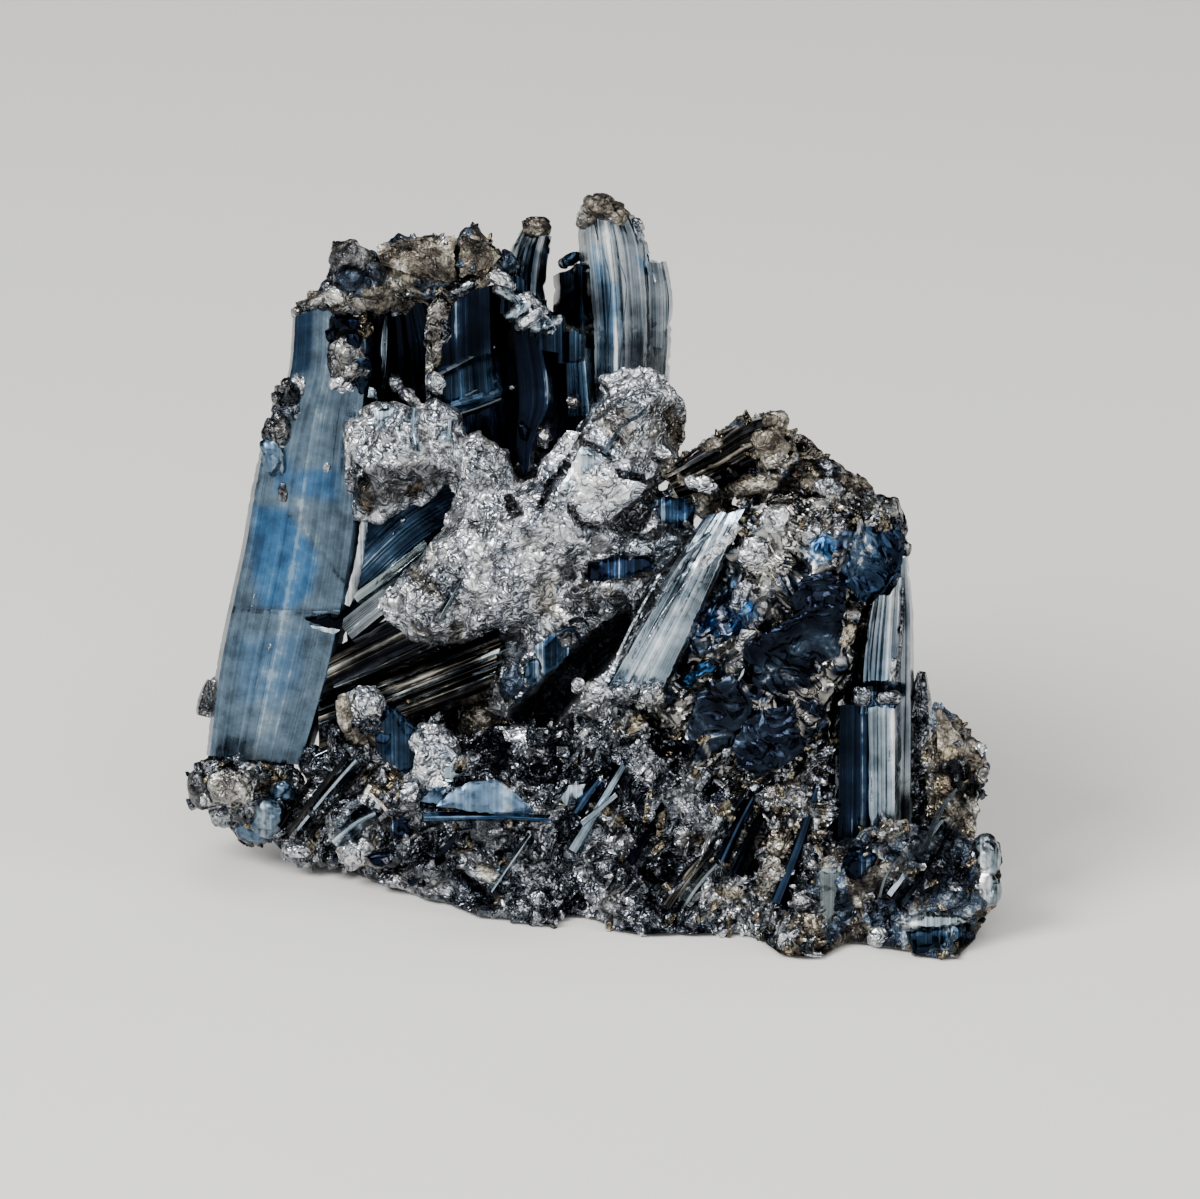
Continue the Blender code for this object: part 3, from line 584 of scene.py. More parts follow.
    def _swing(self, random: Generator, steps: int, lanes: int,
               ring: np.ndarray) -> np.ndarray:
        """Slow changes of depth along the prism, which end and start striations.

        Args:
            random: the dice.
            steps: how many cross-sections there are.
            lanes: how many lanes the front has.
            ring: shares of the width around a cross-section.

        Returns:
            A depth for each place of each cross-section, mm.
        """
        swing = np.zeros((steps, len(ring)))
        column = 0
        while column < lanes:
            wide = int(random.integers(1, 4)) * 2
            path = np.zeros(steps)
            for _ in range(int(random.integers(1, 4))):
                start = int(random.integers(0, steps))
                path[start:] += random.normal(0, self.relief * 0.35)
            path -= path.mean()
            swing[:, column:column + wide] += path[:, None]
            column += wide
        swing[:, lanes:] = 0
        return swing

    def _chip_edges(self, random: Generator, drawn: np.ndarray, ring: np.ndarray,
                    width: float) -> np.ndarray:
        """Nicks along both edges, so that the outline isn't ruled.

        Args:
            random: the dice.
            drawn: u, v and depth of each place of each cross-section.
            ring: shares of the width around a cross-section.
            width: the prism's width, mm.

        Returns:
            The places, moved.
        """
        steps = drawn.shape[0]
        span = drawn[:, :, 0:2]
        mid = span.mean(axis=1, keepdims=True)
        for side in (0.0, 1.0):
            path = np.convolve(random.normal(0, 1, steps + 4), np.ones(3) / 3, "same")[2:-2]
            sharp = (random.uniform(0, 1, steps) < 0.12) * random.uniform(0.5, 2.0, steps)
            nick = (path * 0.5 + sharp) * self.wander
            weight = np.clip(1 - np.abs(ring - side) / 0.18, 0, 1)
            inward = (mid - span)
            inward = inward / (np.linalg.norm(inward, axis=2, keepdims=True) + 1e-9)
            drawn[:, :, 0:2] += inward * (nick[:, None] * weight[None, :])[:, :, None]
        return drawn

    def _caps(self, lanes: int, backs: int, steps: int, count: int) -> list[tuple[int, ...]]:
        """Ladders of faces that close the foot and the tip between front and back.

        Args:
            lanes: how many lanes the front has.
            backs: how many the back has.
            steps: how many cross-sections there are.
            count: how many places each has.

        Returns:
            The faces, as point numbers.
        """
        faces: list[tuple[int, ...]] = []
        back_at = [count - 4 - round(i * (backs - 1) / (lanes - 1)) for i in range(lanes)]
        for base, flip in ((0, False), ((steps - 1) * count, True)):
            for i in range(lanes - 1):
                ring = [i, i + 1, back_at[i + 1], back_at[i]]
                ring = [n for k, n in enumerate(ring) if n != ring[k - 1]]
                ring = [base + n for n in ring]
                faces.append(tuple(reversed(ring)) if not flip else tuple(ring))
            right = [base + lanes - 1, base + lanes, base + lanes + 1, base + lanes + 2,
                     base + lanes + 3]
            left = [base + count - 4, base + count - 3, base + count - 2, base + count - 1, base]
            for ring in (right, left):
                faces.append(tuple(ring) if flip else tuple(reversed(ring)))
        return faces


@dataclass(frozen=True)
class Bar:
    """A slim striated prism that follows a drawn line, seated on a bed.

    Attributes:
        path: where it runs, from foot to tip, u and v, in tenths of a millimetre.
        width: how wide it is, mm.
        proud: how far it stands before the bed's front, mm.
        thick: front to back, mm.
        finish: which of its piece's finishes it takes.
        seed: which arrangement of strips.
        tone: 1 for its finish's own colours, less to pull them towards the painted fold colour.
        taper: width of its tip as a share of its foot's.
        tint: which of the finish's colours it has, 0 to 1.
        strip: usual width of a striation, mm.
        relief: how far striations stand out, mm.
    """

    ENDS, NICKS, BEVEL = 0.3, 0.06, 0.15  # uneven tip, nicked edges, mm, and bevel's share

    path: str
    width: float
    proud: float = 0.5
    thick: float = 1.2
    finish: int = 1
    seed: int = 1
    tone: float = 1.0
    taper: float = 0.8
    tint: float = 0.0
    strip: float = 0.3
    relief: float = 0.06

    def build(self, bed: Bed) -> Skin:
        """Makes the prism's surface.

        Args:
            bed: what it is seated on.

        Returns:
            Its surface.
        """
        path = tenths(self.path)
        shares = np.linspace(0, 1, len(path))
        depths = np.array([bed.depth(*place) for place in path])
        line = depths[0] + (depths[-1] - depths[0]) * shares
        line -= max(0.0, float((line - depths).max()))
        runs = np.gradient(path, axis=0)
        across = np.stack([runs[:, 1], -runs[:, 0]], axis=1)
        across /= np.linalg.norm(across, axis=1, keepdims=True)
        half = across * self.width / 2 * (1 - (1 - self.taper) * shares)[:, None]
        prism = Prism(
            "", self.thick, self.strip, self.relief, self.ENDS, self.finish, self.seed,
            tints=((0.0, self.tint),), tone=self.tone, chamfer=self.BEVEL, wander=self.NICKS)
        return prism.loft(np.column_stack([path - half, path + half, line - self.proud]))


@dataclass(frozen=True)
class CrumpledMass:
    """A lump's solid, cut fine and broken up into facets and folds.

    Attributes:
        node: the CAD node whose solid it follows.
        voxel: how fine its surface is, mm.
        fields: the facet sizes that break it up, coarse to fine.
        darkness: how far the folds between facets are darkened as painted shade, 0 to 1.
        patch_share: share of the surface where the second colours show.
        patches: size of the patches that they show in, mm.
        finish: which of its piece's finishes it takes.
        sunk: how far its surface is drawn in before it is broken up, mm.
    """

    node: str
    voxel: float
    fields: tuple[FacetField, ...]
    darkness: float = 0.5
    patch_share: float = 0.3
    patches: float = 3.0
    finish: int = 0
    sunk: float = 0.0

    def build(self) -> Skin:
        """Makes the lump's surface.

        Returns:
            Its surface.
        """
        mesh = self._fine_mesh()
        count = len(mesh.vertices)
        points, normals = np.empty((count, 3)), np.empty((count, 3))
        mesh.vertices.foreach_get("co", points.ravel())
        mesh.vertices.foreach_get("normal", normals.ravel())
        tone = np.ones(count)
        lift = np.full(count, -self.sunk, float)
        for facets in self.fields:
            height, edge = facets.sample(points / MM)
            lift += height
            # Each facet's edges are pulled towards the fold colour: painted shade in the folds.
            tone *= 1 - self.darkness * (1 - ease(0.0, 0.5, edge))
        spots = FacetField(self.patches, 0.0, 1.0, self.fields[0].seed + 500)
        tint = (spots.sample(points / MM)[0] * 0.5 + 0.5 > 1 - self.patch_share) * 1.0
        low = ease(0.0, 1.5, points[:, 2] / MM)
        moved = grounded(points + normals * (lift * MM * np.maximum(low, 0.05))[:, None])
        faces = [tuple(face.vertices) for face in mesh.polygons]
        bpy.data.meshes.remove(mesh)
        return Skin(moved, faces, FACE.drawn(moved)[:, :2], tone, tint, self.finish)

    def _fine_mesh(self) -> Mesh:
        """A finely and evenly divided copy of the node's solid.

        Returns:
            The copy.
        """
        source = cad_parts[self.node]
        shape = bmesh.new()
        shape.from_mesh(source.data)
        bmesh.ops.remove_doubles(shape, verts=shape.verts[:], dist=1e-6)
        mesh = bpy.data.meshes.new("fine")
        shape.to_mesh(mesh)
        shape.free()
        helper = bpy.data.objects.new("fine", mesh)
        bpy.context.scene.collection.objects.link(helper)
        remesh = helper.modifiers.new("remesh", "REMESH")
        remesh.mode = "VOXEL"
        remesh.voxel_size = self.voxel * MM
        graph = bpy.context.evaluated_depsgraph_get()
        fine = bpy.data.meshes.new_from_object(helper.evaluated_get(graph))
        bpy.data.objects.remove(helper, do_unlink=True)
        bpy.data.meshes.remove(mesh)
        return fine


@dataclass(frozen=True)
class Knob:
    """A rounded or blocky lump seated on a bed.

    Attributes:
        ball: its middle's u and v, and half its width, height and depth, in tenths of a
            millimetre.
        facets: size, tilt, lift and seed of the facets that break it up, coarse and then
            fine where there are two kinds.
        finish: which of its piece's finishes it takes.
        sunk: how far its middle lies behind the bed's front, mm.
        square: 1 for round, less for blocky.
        turn: how far it is turned on the display face, in degrees.
        tint: which of the finish's colours it has, 0 to 1.
        depth: its middle's own depth where it isn't seated, mm.
        detail: how finely it is divided.
    """

    ball: str
    facets: tuple[float, ...] | tuple[tuple[float, ...], ...] = (0.9, 0.3, 0.1, 5)
    finish: int = 3
    sunk: float = 0.0
    square: float = 0.85
    turn: float = 0.0
    tint: float = 0.0
    depth: float | None = None
    detail: int = 4

    def build(self, bed: Bed) -> Skin:
        """Makes the lump's surface.

        Args:
            bed: what it is seated on.

        Returns:
            Its surface.
        """
        shape = bmesh.new()
        bmesh.ops.create_icosphere(shape, subdivisions=self.detail, radius=1.0)
        ball = np.array([vert.co for vert in shape.verts])
        faces = [tuple(vert.index for vert in face.verts) for face in shape.faces]
        shape.free()
        ball = np.sign(ball) * np.abs(ball) ** self.square
        middle_u, middle_v, *radii = tenths(self.ball, 5)[0]
        sized = ball * radii
        angle = math.radians(self.turn)
        u = sized[:, 0] * math.cos(angle) - sized[:, 1] * math.sin(angle)
        v = sized[:, 0] * math.sin(angle) + sized[:, 1] * math.cos(angle)
        depth = self.depth
        if depth is None:
            depth = bed.depth(middle_u, middle_v) + self.sunk
        places = np.stack([u + middle_u, v + middle_v, -sized[:, 2] + depth], axis=1)
        outward = places - np.array([middle_u, middle_v, depth])
        outward /= np.linalg.norm(outward, axis=1, keepdims=True) + 1e-9
        tone = np.ones(len(places))
        lift = np.zeros(len(places))
        kinds = self.facets if isinstance(self.facets[0], tuple) else (self.facets,)
        for kind in kinds:
            height, edge = FacetField(*kind).sample(places)
            lift += height
            # Each facet's edges are darkened: painted shade in the folds between facets.
            tone *= 0.5 + 0.5 * ease(0.0, 0.5, edge)
        places = places + outward * lift[:, None]
        points = grounded(FACE.place(places))
        return Skin(points, faces, places[:, :2], tone, np.full(len(places), self.tint, float),
                    self.finish)


@dataclass(frozen=True)
class Plate:
    """A flat crystal face with a drawn outline and chipped edges, seated on a bed.

    Attributes:
        outline: its corners, u and v, in tenths of a millimetre.
        proud: how far its middle stands before the bed's front, mm.
        slope: how much deeper it gets for each mm to the right and each mm up.
        thick: front to back, mm.
        finish: which of its piece's finishes it takes.
        seed: which arrangement of chips and waves.
        bevel: width of its rounded edge, mm.
        wave: how far its face swells and dips, mm.
        tint: which of the finish's colours it has, 0 to 1.
        tone: 1 for its finish's own colours, less to pull them towards the painted fold colour.
        spacing: how finely it is divided, mm.
        swell: how much larger than its drawn outline it is.
    """

    outline: str
    proud: float = 0.3
    slope: tuple[float, float] = (0.0, 0.0)
    thick: float = 2.0
    finish: int = 1
    seed: int = 1
    bevel: float = 0.25
    wave: float = 0.06
    tint: float = 0.0
    tone: float = 1.0
    spacing: float = 0.3
    swell: float = 1.0

    def build(self, bed: Bed) -> Skin:
        """Makes the plate's surface.

        Args:
            bed: what it is seated on.

        Returns:
            Its surface.
        """
        random = np.random.default_rng(self.seed)
        corners = tenths(self.outline)
        corners = corners.mean(axis=0) + (corners - corners.mean(axis=0)) * self.swell
        turned = np.roll(corners, -1, axis=0)
        if (corners[:, 0] * turned[:, 1] - turned[:, 0] * corners[:, 1]).sum() < 0:
            corners = corners[::-1]
        rim = []
        for start, end in zip(corners, np.roll(corners, -1, axis=0)):
            steps = max(1, int(np.linalg.norm(end - start) / self.spacing))
            for step in range(steps):
                nick = random.normal(0, self.spacing * 0.16, 2) * (step > 0)
                rim.append(start + (end - start) * step / steps + nick)
        rim = np.array(rim)
        middle = corners.mean(axis=0)
        low, high = rim.min(axis=0), rim.max(axis=0)
        grid = np.stack(np.meshgrid(
            np.arange(low[0], high[0], self.spacing), np.arange(low[1], high[1], self.spacing)),
            axis=-1).reshape(-1, 2)
        grid = grid + random.uniform(-0.25, 0.25, grid.shape) * self.spacing
        grid = grid[inside(rim, grid)]
        grid = grid[edge_distance(rim, grid) > self.spacing * 0.35]
        count = len(rim)
        ring = [(i, (i + 1) % count) for i in range(count)]
        flat, _, faces, _, _, _ = geometry.delaunay_2d_cdt(
            [Vector(place) for place in np.concatenate([rim, grid])], ring, [], 1, 1e-5)
        flat = np.array([tuple(place) for place in flat])
        base = bed.depth(*middle) - self.proud
        away = edge_distance(rim, flat)
        away[:count] = 0.0
        waves, _ = FacetField(1.6, 0.06, 0.5, self.seed + 60).sample(
            np.column_stack([flat, np.zeros(len(flat))]))
        swell = waves * self.wave + np.sin(flat[:, 0] * 1.7 + flat[:, 1]) * self.wave * 0.5
        drop = self.bevel * 0.6 * (1 - ease(0.0, self.bevel, away))
        tilt = (flat - middle) @ np.array(self.slope)
        front = np.column_stack([flat, base + tilt + swell + drop])
        behind = np.column_stack([flat[:count], base + tilt[:count] + self.thick])
        core = np.array([[*middle, base + self.thick]])
        places = np.concatenate([front, behind, core])
        points = grounded(FACE.place(places))
        start = len(front)
        made = [tuple(face) for face in faces]
        made += [(i, start + i, start + j, j) for i, j in ring]
        made += [(start + count, start + j, start + i) for i, j in ring]
        return Skin(points, made, places[:, :2], np.full(len(points), self.tone, float),
                    np.full(len(points), self.tint, float), self.finish)


@dataclass(frozen=True)
class GrainField:
    """Small prisms and grains that grow out of a lump.

    Attributes:
        patch: lowest u, lowest v, highest u and highest v on the display face, mm.
        count: how many grains.
        length: shortest and longest, mm.
        width: thinnest and stoutest, mm.
        lean: direction on the display face that they rise in, in degrees from +u.
        spread: how far they stray from it, in degrees.
        outward: 0 for grains that lie along the face, 1 for grains that stand out of it.
        sides: how many sides each has.
        tones: darkest and cleanest.
        tints: share of the grains that have the finish's second colours.
        finish: which of its piece's finishes it takes.
    """

    patch: tuple[float, float, float, float]
    count: int
    length: tuple[float, float] = (0.4, 0.9)
    width: tuple[float, float] = (0.5, 0.9)
    lean: float = 65.0
    spread: float = 30.0
    outward: float = 0.3
    front_only: bool = True
    sides: int = 4
    tones: tuple[float, float] = (0.15, 1.0)
    tints: float = 0.3
    finish: int = 0
    seed: int = 1

    def build(self, bed: Skin) -> Skin:
        """Makes the grains on a bed's surface.

        Args:
            bed: the surface that they grow on.

        Returns:
            All the grains as one surface.
        """
        random = np.random.default_rng(self.seed)
        feet, normals = self._feet(random, bed)
        total = len(feet)
        angle = np.radians(self.lean + random.normal(0, self.spread, total))
        along = np.stack([np.cos(angle), np.zeros(total), np.sin(angle)], axis=1)
        axis = along * (1 - self.outward) + normals * self.outward
        axis += random.normal(0, 0.22, (total, 3))
        axis /= np.linalg.norm(axis, axis=1, keepdims=True)
        side = np.cross(axis, random.normal(0, 1, (total, 3)))
        side /= np.linalg.norm(side, axis=1, keepdims=True)
        other = np.cross(axis, side)
        size = random.uniform(0, 1, total) ** 1.6
        length = self.length[0] + (self.length[1] - self.length[0]) * size
        width = self.width[0] + (self.width[1] - self.width[0]) * size * random.uniform(
            0.5, 1.0, total)
        flat = random.uniform(0.45, 1.0, total)
        sides = self.sides
        turn = random.uniform(0, math.tau, total)
        rings = []
        for share, scale in ((-0.45, 1.0), (0.45, 1.0), (0.62, 0.55)):
            for corner in range(sides):
                around = turn + math.tau * corner / sides
                slant = np.cos(around) * width * 0.35 if share > 0 else 0.0
                rings.append(
                    feet + (axis * (length * share + slant)[:, None]
                            + side * (np.cos(around) * width * 0.5 * scale)[:, None]
                            + other * (np.sin(around) * width * 0.5 * flat * scale)[:, None]) * MM)
        points = grounded(np.stack(rings, axis=1).reshape(-1, 3))
        pattern = []
        for level in range(2):
            for corner in range(sides):
                after = (corner + 1) % sides
                pattern.append((level * sides + corner, level * sides + after,
                                (level + 1) * sides + after, (level + 1) * sides + corner))
        caps = [tuple(range(sides - 1, -1, -1)), tuple(range(2 * sides, 3 * sides))]
        faces = [
            tuple(grain * 3 * sides + n for n in ring)
            for grain in range(total) for ring in pattern + caps
        ]
        place = random.uniform(0, 60, total)
        grain = np.stack([
            np.tile(np.arange(3 * sides) % sides, total) * 0.4 + np.repeat(place, 3 * sides),
            np.tile(np.arange(3 * sides) // sides, total) * 0.7 + np.repeat(place, 3 * sides),
        ], axis=1)
        tone = np.repeat(random.uniform(*self.tones, total), 3 * sides)
        tint = np.repeat((random.uniform(0, 1, total) < self.tints) * 1.0, 3 * sides)
        return Skin(points, faces, grain, tone, tint, self.finish)

    def _feet(self, random: Generator, bed: Skin) -> tuple[np.ndarray, np.ndarray]:
        """Places for the grains, and the bed's outward direction there.

        Args:
            random: the dice.
            bed: the surface that they grow on.

        Returns:
            The places in metres, and the directions.
        """
        quads = np.array([(face + face)[:4] if len(face) == 3 else face[:4] for face in bed.faces])
        corners = bed.points[quads]
        centre = corners.mean(axis=1)
        normal = np.cross(corners[:, 2] - corners[:, 0], corners[:, 3] - corners[:, 1])
        area = np.linalg.norm(normal, axis=1) + 1e-12
        normal /= area[:, None]
        drawn = FACE.drawn(centre)
        low_u, low_v, high_u, high_v = self.patch
        good = ((drawn[:, 0] > low_u) & (drawn[:, 0] < high_u)
                & (drawn[:, 1] > low_v) & (drawn[:, 1] < high_v) & (centre[:, 2] > 0.3 * MM))
        if self.front_only:
            good &= normal[:, 1] < GRAIN_FACING
        chance = np.where(good, area, 0.0)
        picked = random.choice(len(chance), size=self.count, p=chance / chance.sum())
        return centre[picked] + random.normal(0, 0.08 * MM, (self.count, 3)), normal[picked]


# -------------------- finishes


def linear(hex_colour: str) -> tuple[float, float, float, float]:
    """An sRGB hex colour as linear red, green, blue and alpha."""
    values = [int(hex_colour[i:i + 2], 16) / 255 for i in (1, 3, 5)]
    return (*[v / 12.92 if v <= 0.04045 else ((v + 0.055) / 1.055) ** 2.4 for v in values], 1.0)


def add_node(tree: NodeTree, kind: str, inputs: dict | None = None,
             ramp: tuple[tuple[float, str], ...] = (), **settings: object) -> Node:
    """Adds a node to a tree with its settings and links.

    Args:
        tree: the tree that it goes in.
        kind: the shader node's type.
        inputs: a value, or the socket that feeds it, for each input by name or number.
        ramp: the stops of a colour ramp, as place and hex colour.
        settings: the node's own properties.

    Returns:
        The new node.
    """
    node = tree.nodes.new("ShaderNode" + kind)
    for name, value in settings.items():
        setattr(node, name, value)
    for name, value in (inputs or {}).items():
        if isinstance(value, NodeSocket):
            tree.links.new(value, node.inputs[name])
        else:
            node.inputs[name].default_value = value
    if ramp:
        stops = node.color_ramp.elements
        while len(stops) < len(ramp):
            stops.new(1.0)
        for stop, (place, colour) in zip(stops, ramp):
            stop.position = place
            stop.color = linear(colour)
    return node


class Pattern(Enum):
    """How a crystal surface varies from place to place."""

    STRIATED = "lines along the prism"
    CRUMPLED = "facets and folds every way"


@dataclass(frozen=True)
class Lustre:
    """A finish of stibnite, a soft lead-grey sulfide with a metallic lustre.

    Attributes:
        name: the material's name.
        ramp: its colours, from the darkest patches to the brightest.
        second: the colours it has where the surface is tinted.
        roughness: smoothest and roughest.
        pattern: how the surface varies.
        line: usual width of a colour line, mm.
        blotch: usual width of a colour patch, mm.
        facet: width of the finest facets, mm.
        facet_tilt: how far those facets tilt, as a slope.
        crease: share of a facet's width that its dark fold, a line of painted shade, takes.
        metallic: 1 for clean crystal, less where it is weathered.
        painted_fold_colour: the colour that tone and creases pull towards, painted shade in folds and
            hollows; where it is pale it paints highlights on rims.
    """

    name: str
    ramp: tuple[tuple[float, str], ...]
    second: tuple[tuple[float, str], ...]
    roughness: tuple[float, float]
    pattern: Pattern
    line: float = 0.25
    blotch: float = 4.0
    facet: float = 0.6
    facet_tilt: float = 0.1
    crease: float = 0.0
    metallic: float = 1.0
    painted_fold_colour: str = "#0a0c12"

    def build(self) -> Material:
        """Makes the material.

        Returns:
            The material.
        """
        made = bpy.data.materials.new(self.name)
        made.use_nodes = True
        tree = made.node_tree
        tree.nodes.clear()
        coords = add_node(tree, "TexCoord")
        bent = self._bent(tree, coords)
        share, height, rise = self._grown(tree, coords, bent)
        colour = add_node(tree, "ValToRGB", {"Fac": share}, self.ramp)
        other = add_node(tree, "ValToRGB", {"Fac": share}, self.second)
        tint = add_node(tree, "Attribute", attribute_name="tint")
        both = add_node(tree, "Mix", {
            "Factor": tint.outputs["Fac"], 6: colour.outputs[0], 7: other.outputs[0]},
            data_type="RGBA")
        # Tone and creases pull the colour to the painted fold colour: painted shade along folds, creases
        # and set-back hollows, pale painted highlight on the conchoidal break's rims, and darker crystals
        # and patches elsewhere.
        tone = add_node(tree, "Attribute", attribute_name="tone")
        clean = tone.outputs["Fac"]
        if self.crease:
            clean = self._creased(tree, bent, clean)
        folded = add_node(tree, "Mix", {
            "Factor": clean, 6: linear(self.painted_fold_colour), 7: both.outputs[2]}, data_type="RGBA")
        rough = add_node(tree, "MapRange", {
            "Value": share, "From Min": 0.2, "From Max": 0.8,
            "To Min": self.roughness[0], "To Max": self.roughness[1]})
        bump = add_node(tree, "Bump", {
            "Height": height, "Strength": 0.6, "Distance": rise * MM,
            "Normal": self._tilted(tree, bent)})
        shader = add_node(tree, "BsdfPrincipled", {
            "Base Color": folded.outputs[2], "Roughness": rough.outputs[0],
            "Metallic": self.metallic, "Normal": bump.outputs[0]})
        add_node(tree, "OutputMaterial", {"Surface": shader.outputs[0]})
        return made

    def _bent(self, tree: NodeTree, coords: Node) -> NodeSocket:
        """Places waved by noise, so that facets get curved edges.

        Args:
            tree: the material's tree.
            coords: where places are read.

        Returns:
            The waved places.
        """
        waves = add_node(tree, "TexNoise", {
            "Vector": coords.outputs["Object"], "Scale": 0.5 / (self.facet * MM), "Detail": 2.0})
        centred = add_node(tree, "VectorMath", {
            0: waves.outputs["Color"], 1: (0.5, 0.5, 0.5)}, operation="SUBTRACT")
        sized = add_node(tree, "VectorMath", {
            0: centred.outputs[0], "Scale": self.facet * 2.6 * MM}, operation="SCALE")
        moved = add_node(tree, "VectorMath", {
            0: sized.outputs[0], 1: coords.outputs["Object"]}, operation="ADD")
        return moved.outputs[0]

    def _grown(self, tree: NodeTree, coords: Node,
               bent: NodeSocket) -> tuple[NodeSocket, NodeSocket, float]:
        """How the colour and the height vary.

        Args:
            tree: the material's tree.
            coords: where places are read.
            bent: the waved places.

        Returns:
            The colour's share, the height, and how far the height rises in mm.
        """
        blotches = add_node(tree, "TexNoise", {
            "Vector": coords.outputs["Object"], "Scale": 1 / (self.blotch * MM), "Detail": 4.0,
            "Roughness": 0.6})
        if self.pattern is Pattern.STRIATED:
            stretched = add_node(tree, "Mapping", {
                "Vector": coords.outputs["UV"], "Scale": (1 / self.line, 0.005 / self.line, 1)})
            banded = add_node(tree, "Mapping", {
                "Vector": coords.outputs["UV"],
                "Scale": (0.17 / self.line, 0.003 / self.line, 1)})
            fine = add_node(tree, "TexNoise", {
                "Vector": stretched.outputs[0], "Scale": 1.0, "Detail": 3.0, "Roughness": 0.7})
            wide = add_node(tree, "TexNoise", {
                "Vector": banded.outputs[0], "Scale": 1.0, "Detail": 2.0, "Roughness": 0.5})
            height, rise = fine.outputs["Fac"], 0.05
        else:
            fine = add_node(tree, "TexNoise", {
                "Vector": bent, "Scale": 1 / (self.line * 3 * MM), "Detail": 5.0,
                "Roughness": 0.7})
            wide = add_node(tree, "TexNoise", {
                "Vector": bent, "Scale": 0.35 / (self.line * 3 * MM), "Detail": 2.0})
            height, rise = self._wrinkled(tree, bent), 0.4 * self.facet
        pair = add_node(tree, "Math", {
            0: fine.outputs["Fac"], 1: wide.outputs["Fac"]}, operation="ADD")
        mixed = add_node(tree, "Math", {
            0: pair.outputs[0], 1: blotches.outputs["Fac"]}, operation="ADD")
        reach = 0.27 if self.pattern is Pattern.STRIATED else 0.36
        spread = add_node(tree, "MapRange", {
            "Value": mixed.outputs[0], "From Min": 1.5 - reach, "From Max": 1.5 + reach})
        return spread.outputs[0], height, rise

    def _creased(self, tree: NodeTree, bent: NodeSocket,
                 clean: NodeSocket) -> NodeSocket:
        """Thin lines of painted shade in the folds between facets of two sizes.

        Args:
            tree: the material's tree.
            bent: the waved places.
            clean: how much of the colour is kept.

        Returns:
            How much is kept with the painted fold shade.
        """
        cells = add_node(tree, "TexVoronoi", {
            "Vector": bent, "Scale": 0.6 / (self.facet * MM)}, feature="DISTANCE_TO_EDGE")
        for distance, least in ((cells.outputs["Distance"], 0.4),
                                (self._wrinkled(tree, bent), 0.05)):
            line = add_node(tree, "MapRange", {
                "Value": distance, "From Max": self.crease, "To Min": least})
            clean = add_node(tree, "Math", {0: clean, 1: line.outputs[0]},
                             operation="MULTIPLY").outputs[0]
        return clean

    def _wrinkled(self, tree: NodeTree, bent: NodeSocket) -> NodeSocket:
        """Distance from the nearest of the thin curling folds, as in crumpled foil.

        Args:
            tree: the material's tree.
            bent: the waved places.

        Returns:
            The distance.
        """
        noise = add_node(tree, "TexNoise", {
            "Vector": bent, "Scale": 0.9 / (self.facet * MM), "Detail": 1.0})
        spread = add_node(tree, "Math", {0: noise.outputs["Fac"], 1: 3.6},
                          operation="MULTIPLY")
        return add_node(tree, "Math", {0: spread.outputs[0], 1: 0.5},
                        operation="PINGPONG").outputs[0]

    def _tilted(self, tree: NodeTree, bent: NodeSocket) -> NodeSocket:
        """The surface's direction, turned a little in each fine facet.

        Args:
            tree: the material's tree.
            bent: the waved places.

        Returns:
            The turned direction.
        """
        cells = add_node(tree, "TexVoronoi", {
            "Vector": bent, "Scale": 1 / (self.facet * MM)})
        centred = add_node(tree, "VectorMath", {
            0: cells.outputs["Color"], 1: (0.5, 0.5, 0.5)}, operation="SUBTRACT")
        tilted = add_node(tree, "VectorMath", {
            0: centred.outputs[0], "Scale": self.facet_tilt * 2}, operation="SCALE")
        surface = add_node(tree, "NewGeometry")
        summed = add_node(tree, "VectorMath", {
            0: tilted.outputs[0], 1: surface.outputs["Normal"]}, operation="ADD")
        return add_node(tree, "VectorMath", {0: summed.outputs[0]},
                        operation="NORMALIZE").outputs[0]


VIVID_BLUE = ((0.0, "#08131f"), (0.3, "#16395d"), (0.6, "#2a659b"), (0.85, "#7ba5c8"),
              (1.0, "#dde8f0"))
TAN_CRUST = ((0.0, "#26221d"), (0.3, "#62594b"), (0.6, "#9c907a"), (0.85, "#cabfa4"),
             (1.0, "#eee9dd"))
# Tarnished cleavage face: an even steel blue with greyer margins and fine lines along it.
BLUE_FACE = Lustre(
    "stibnite_tarnished_cleavage_blue",
    ((0.0, "#3a4753"), (0.3, "#4c5d6c"), (0.6, "#5c6f80"), (0.85, "#708391"), (1.0, "#93a2ae")),
    ((0.0, "#263f5a"), (0.3, "#2f5275"), (0.6, "#3a6288"), (0.85, "#4a7196"), (1.0, "#6c8da8")),
    (0.24, 0.4), Pattern.STRIATED, line=0.5, blotch=1.6, facet=1.6, facet_tilt=0.03)
# Freshly broken, crumpled stibnite: its near-white colour is partly the fresh metal and partly painted
# highlight, and its thin dark folds are painted shade.
BRIGHT_CRUMPLE = Lustre(
    "stibnite_fresh_crumpled_painted_highlight_and_fold_shade",
    ((0.0, "#8b95a1"), (0.25, "#c6cdd6"), (0.5, "#e8ecf2"), (0.8, "#fcfdff"), (1.0, "#f8eedb")),
    TAN_CRUST, (0.16, 0.34), Pattern.CRUMPLED, line=0.3, blotch=3.0, facet=0.9,
    facet_tilt=0.22, crease=0.13, metallic=0.9)
# Mirror-like growth face: almost black, a painted dark reflection over the lead-grey metal, with a cold
# blue in places.
DARK_MIRROR = Lustre(
    "stibnite_mirror_growth_face_navy",
    ((0.0, "#05070c"), (0.4, "#0b101a"), (0.7, "#131c2d"), (0.9, "#223750"), (1.0, "#8798a8")),
    ((0.0, "#0a111a"), (0.35, "#172431"), (0.65, "#2d455c"), (0.9, "#5c7a93"), (1.0, "#b3c3cf")),
    (0.1, 0.3), Pattern.STRIATED, line=0.3, blotch=6.0, facet=1.6, facet_tilt=0.05)
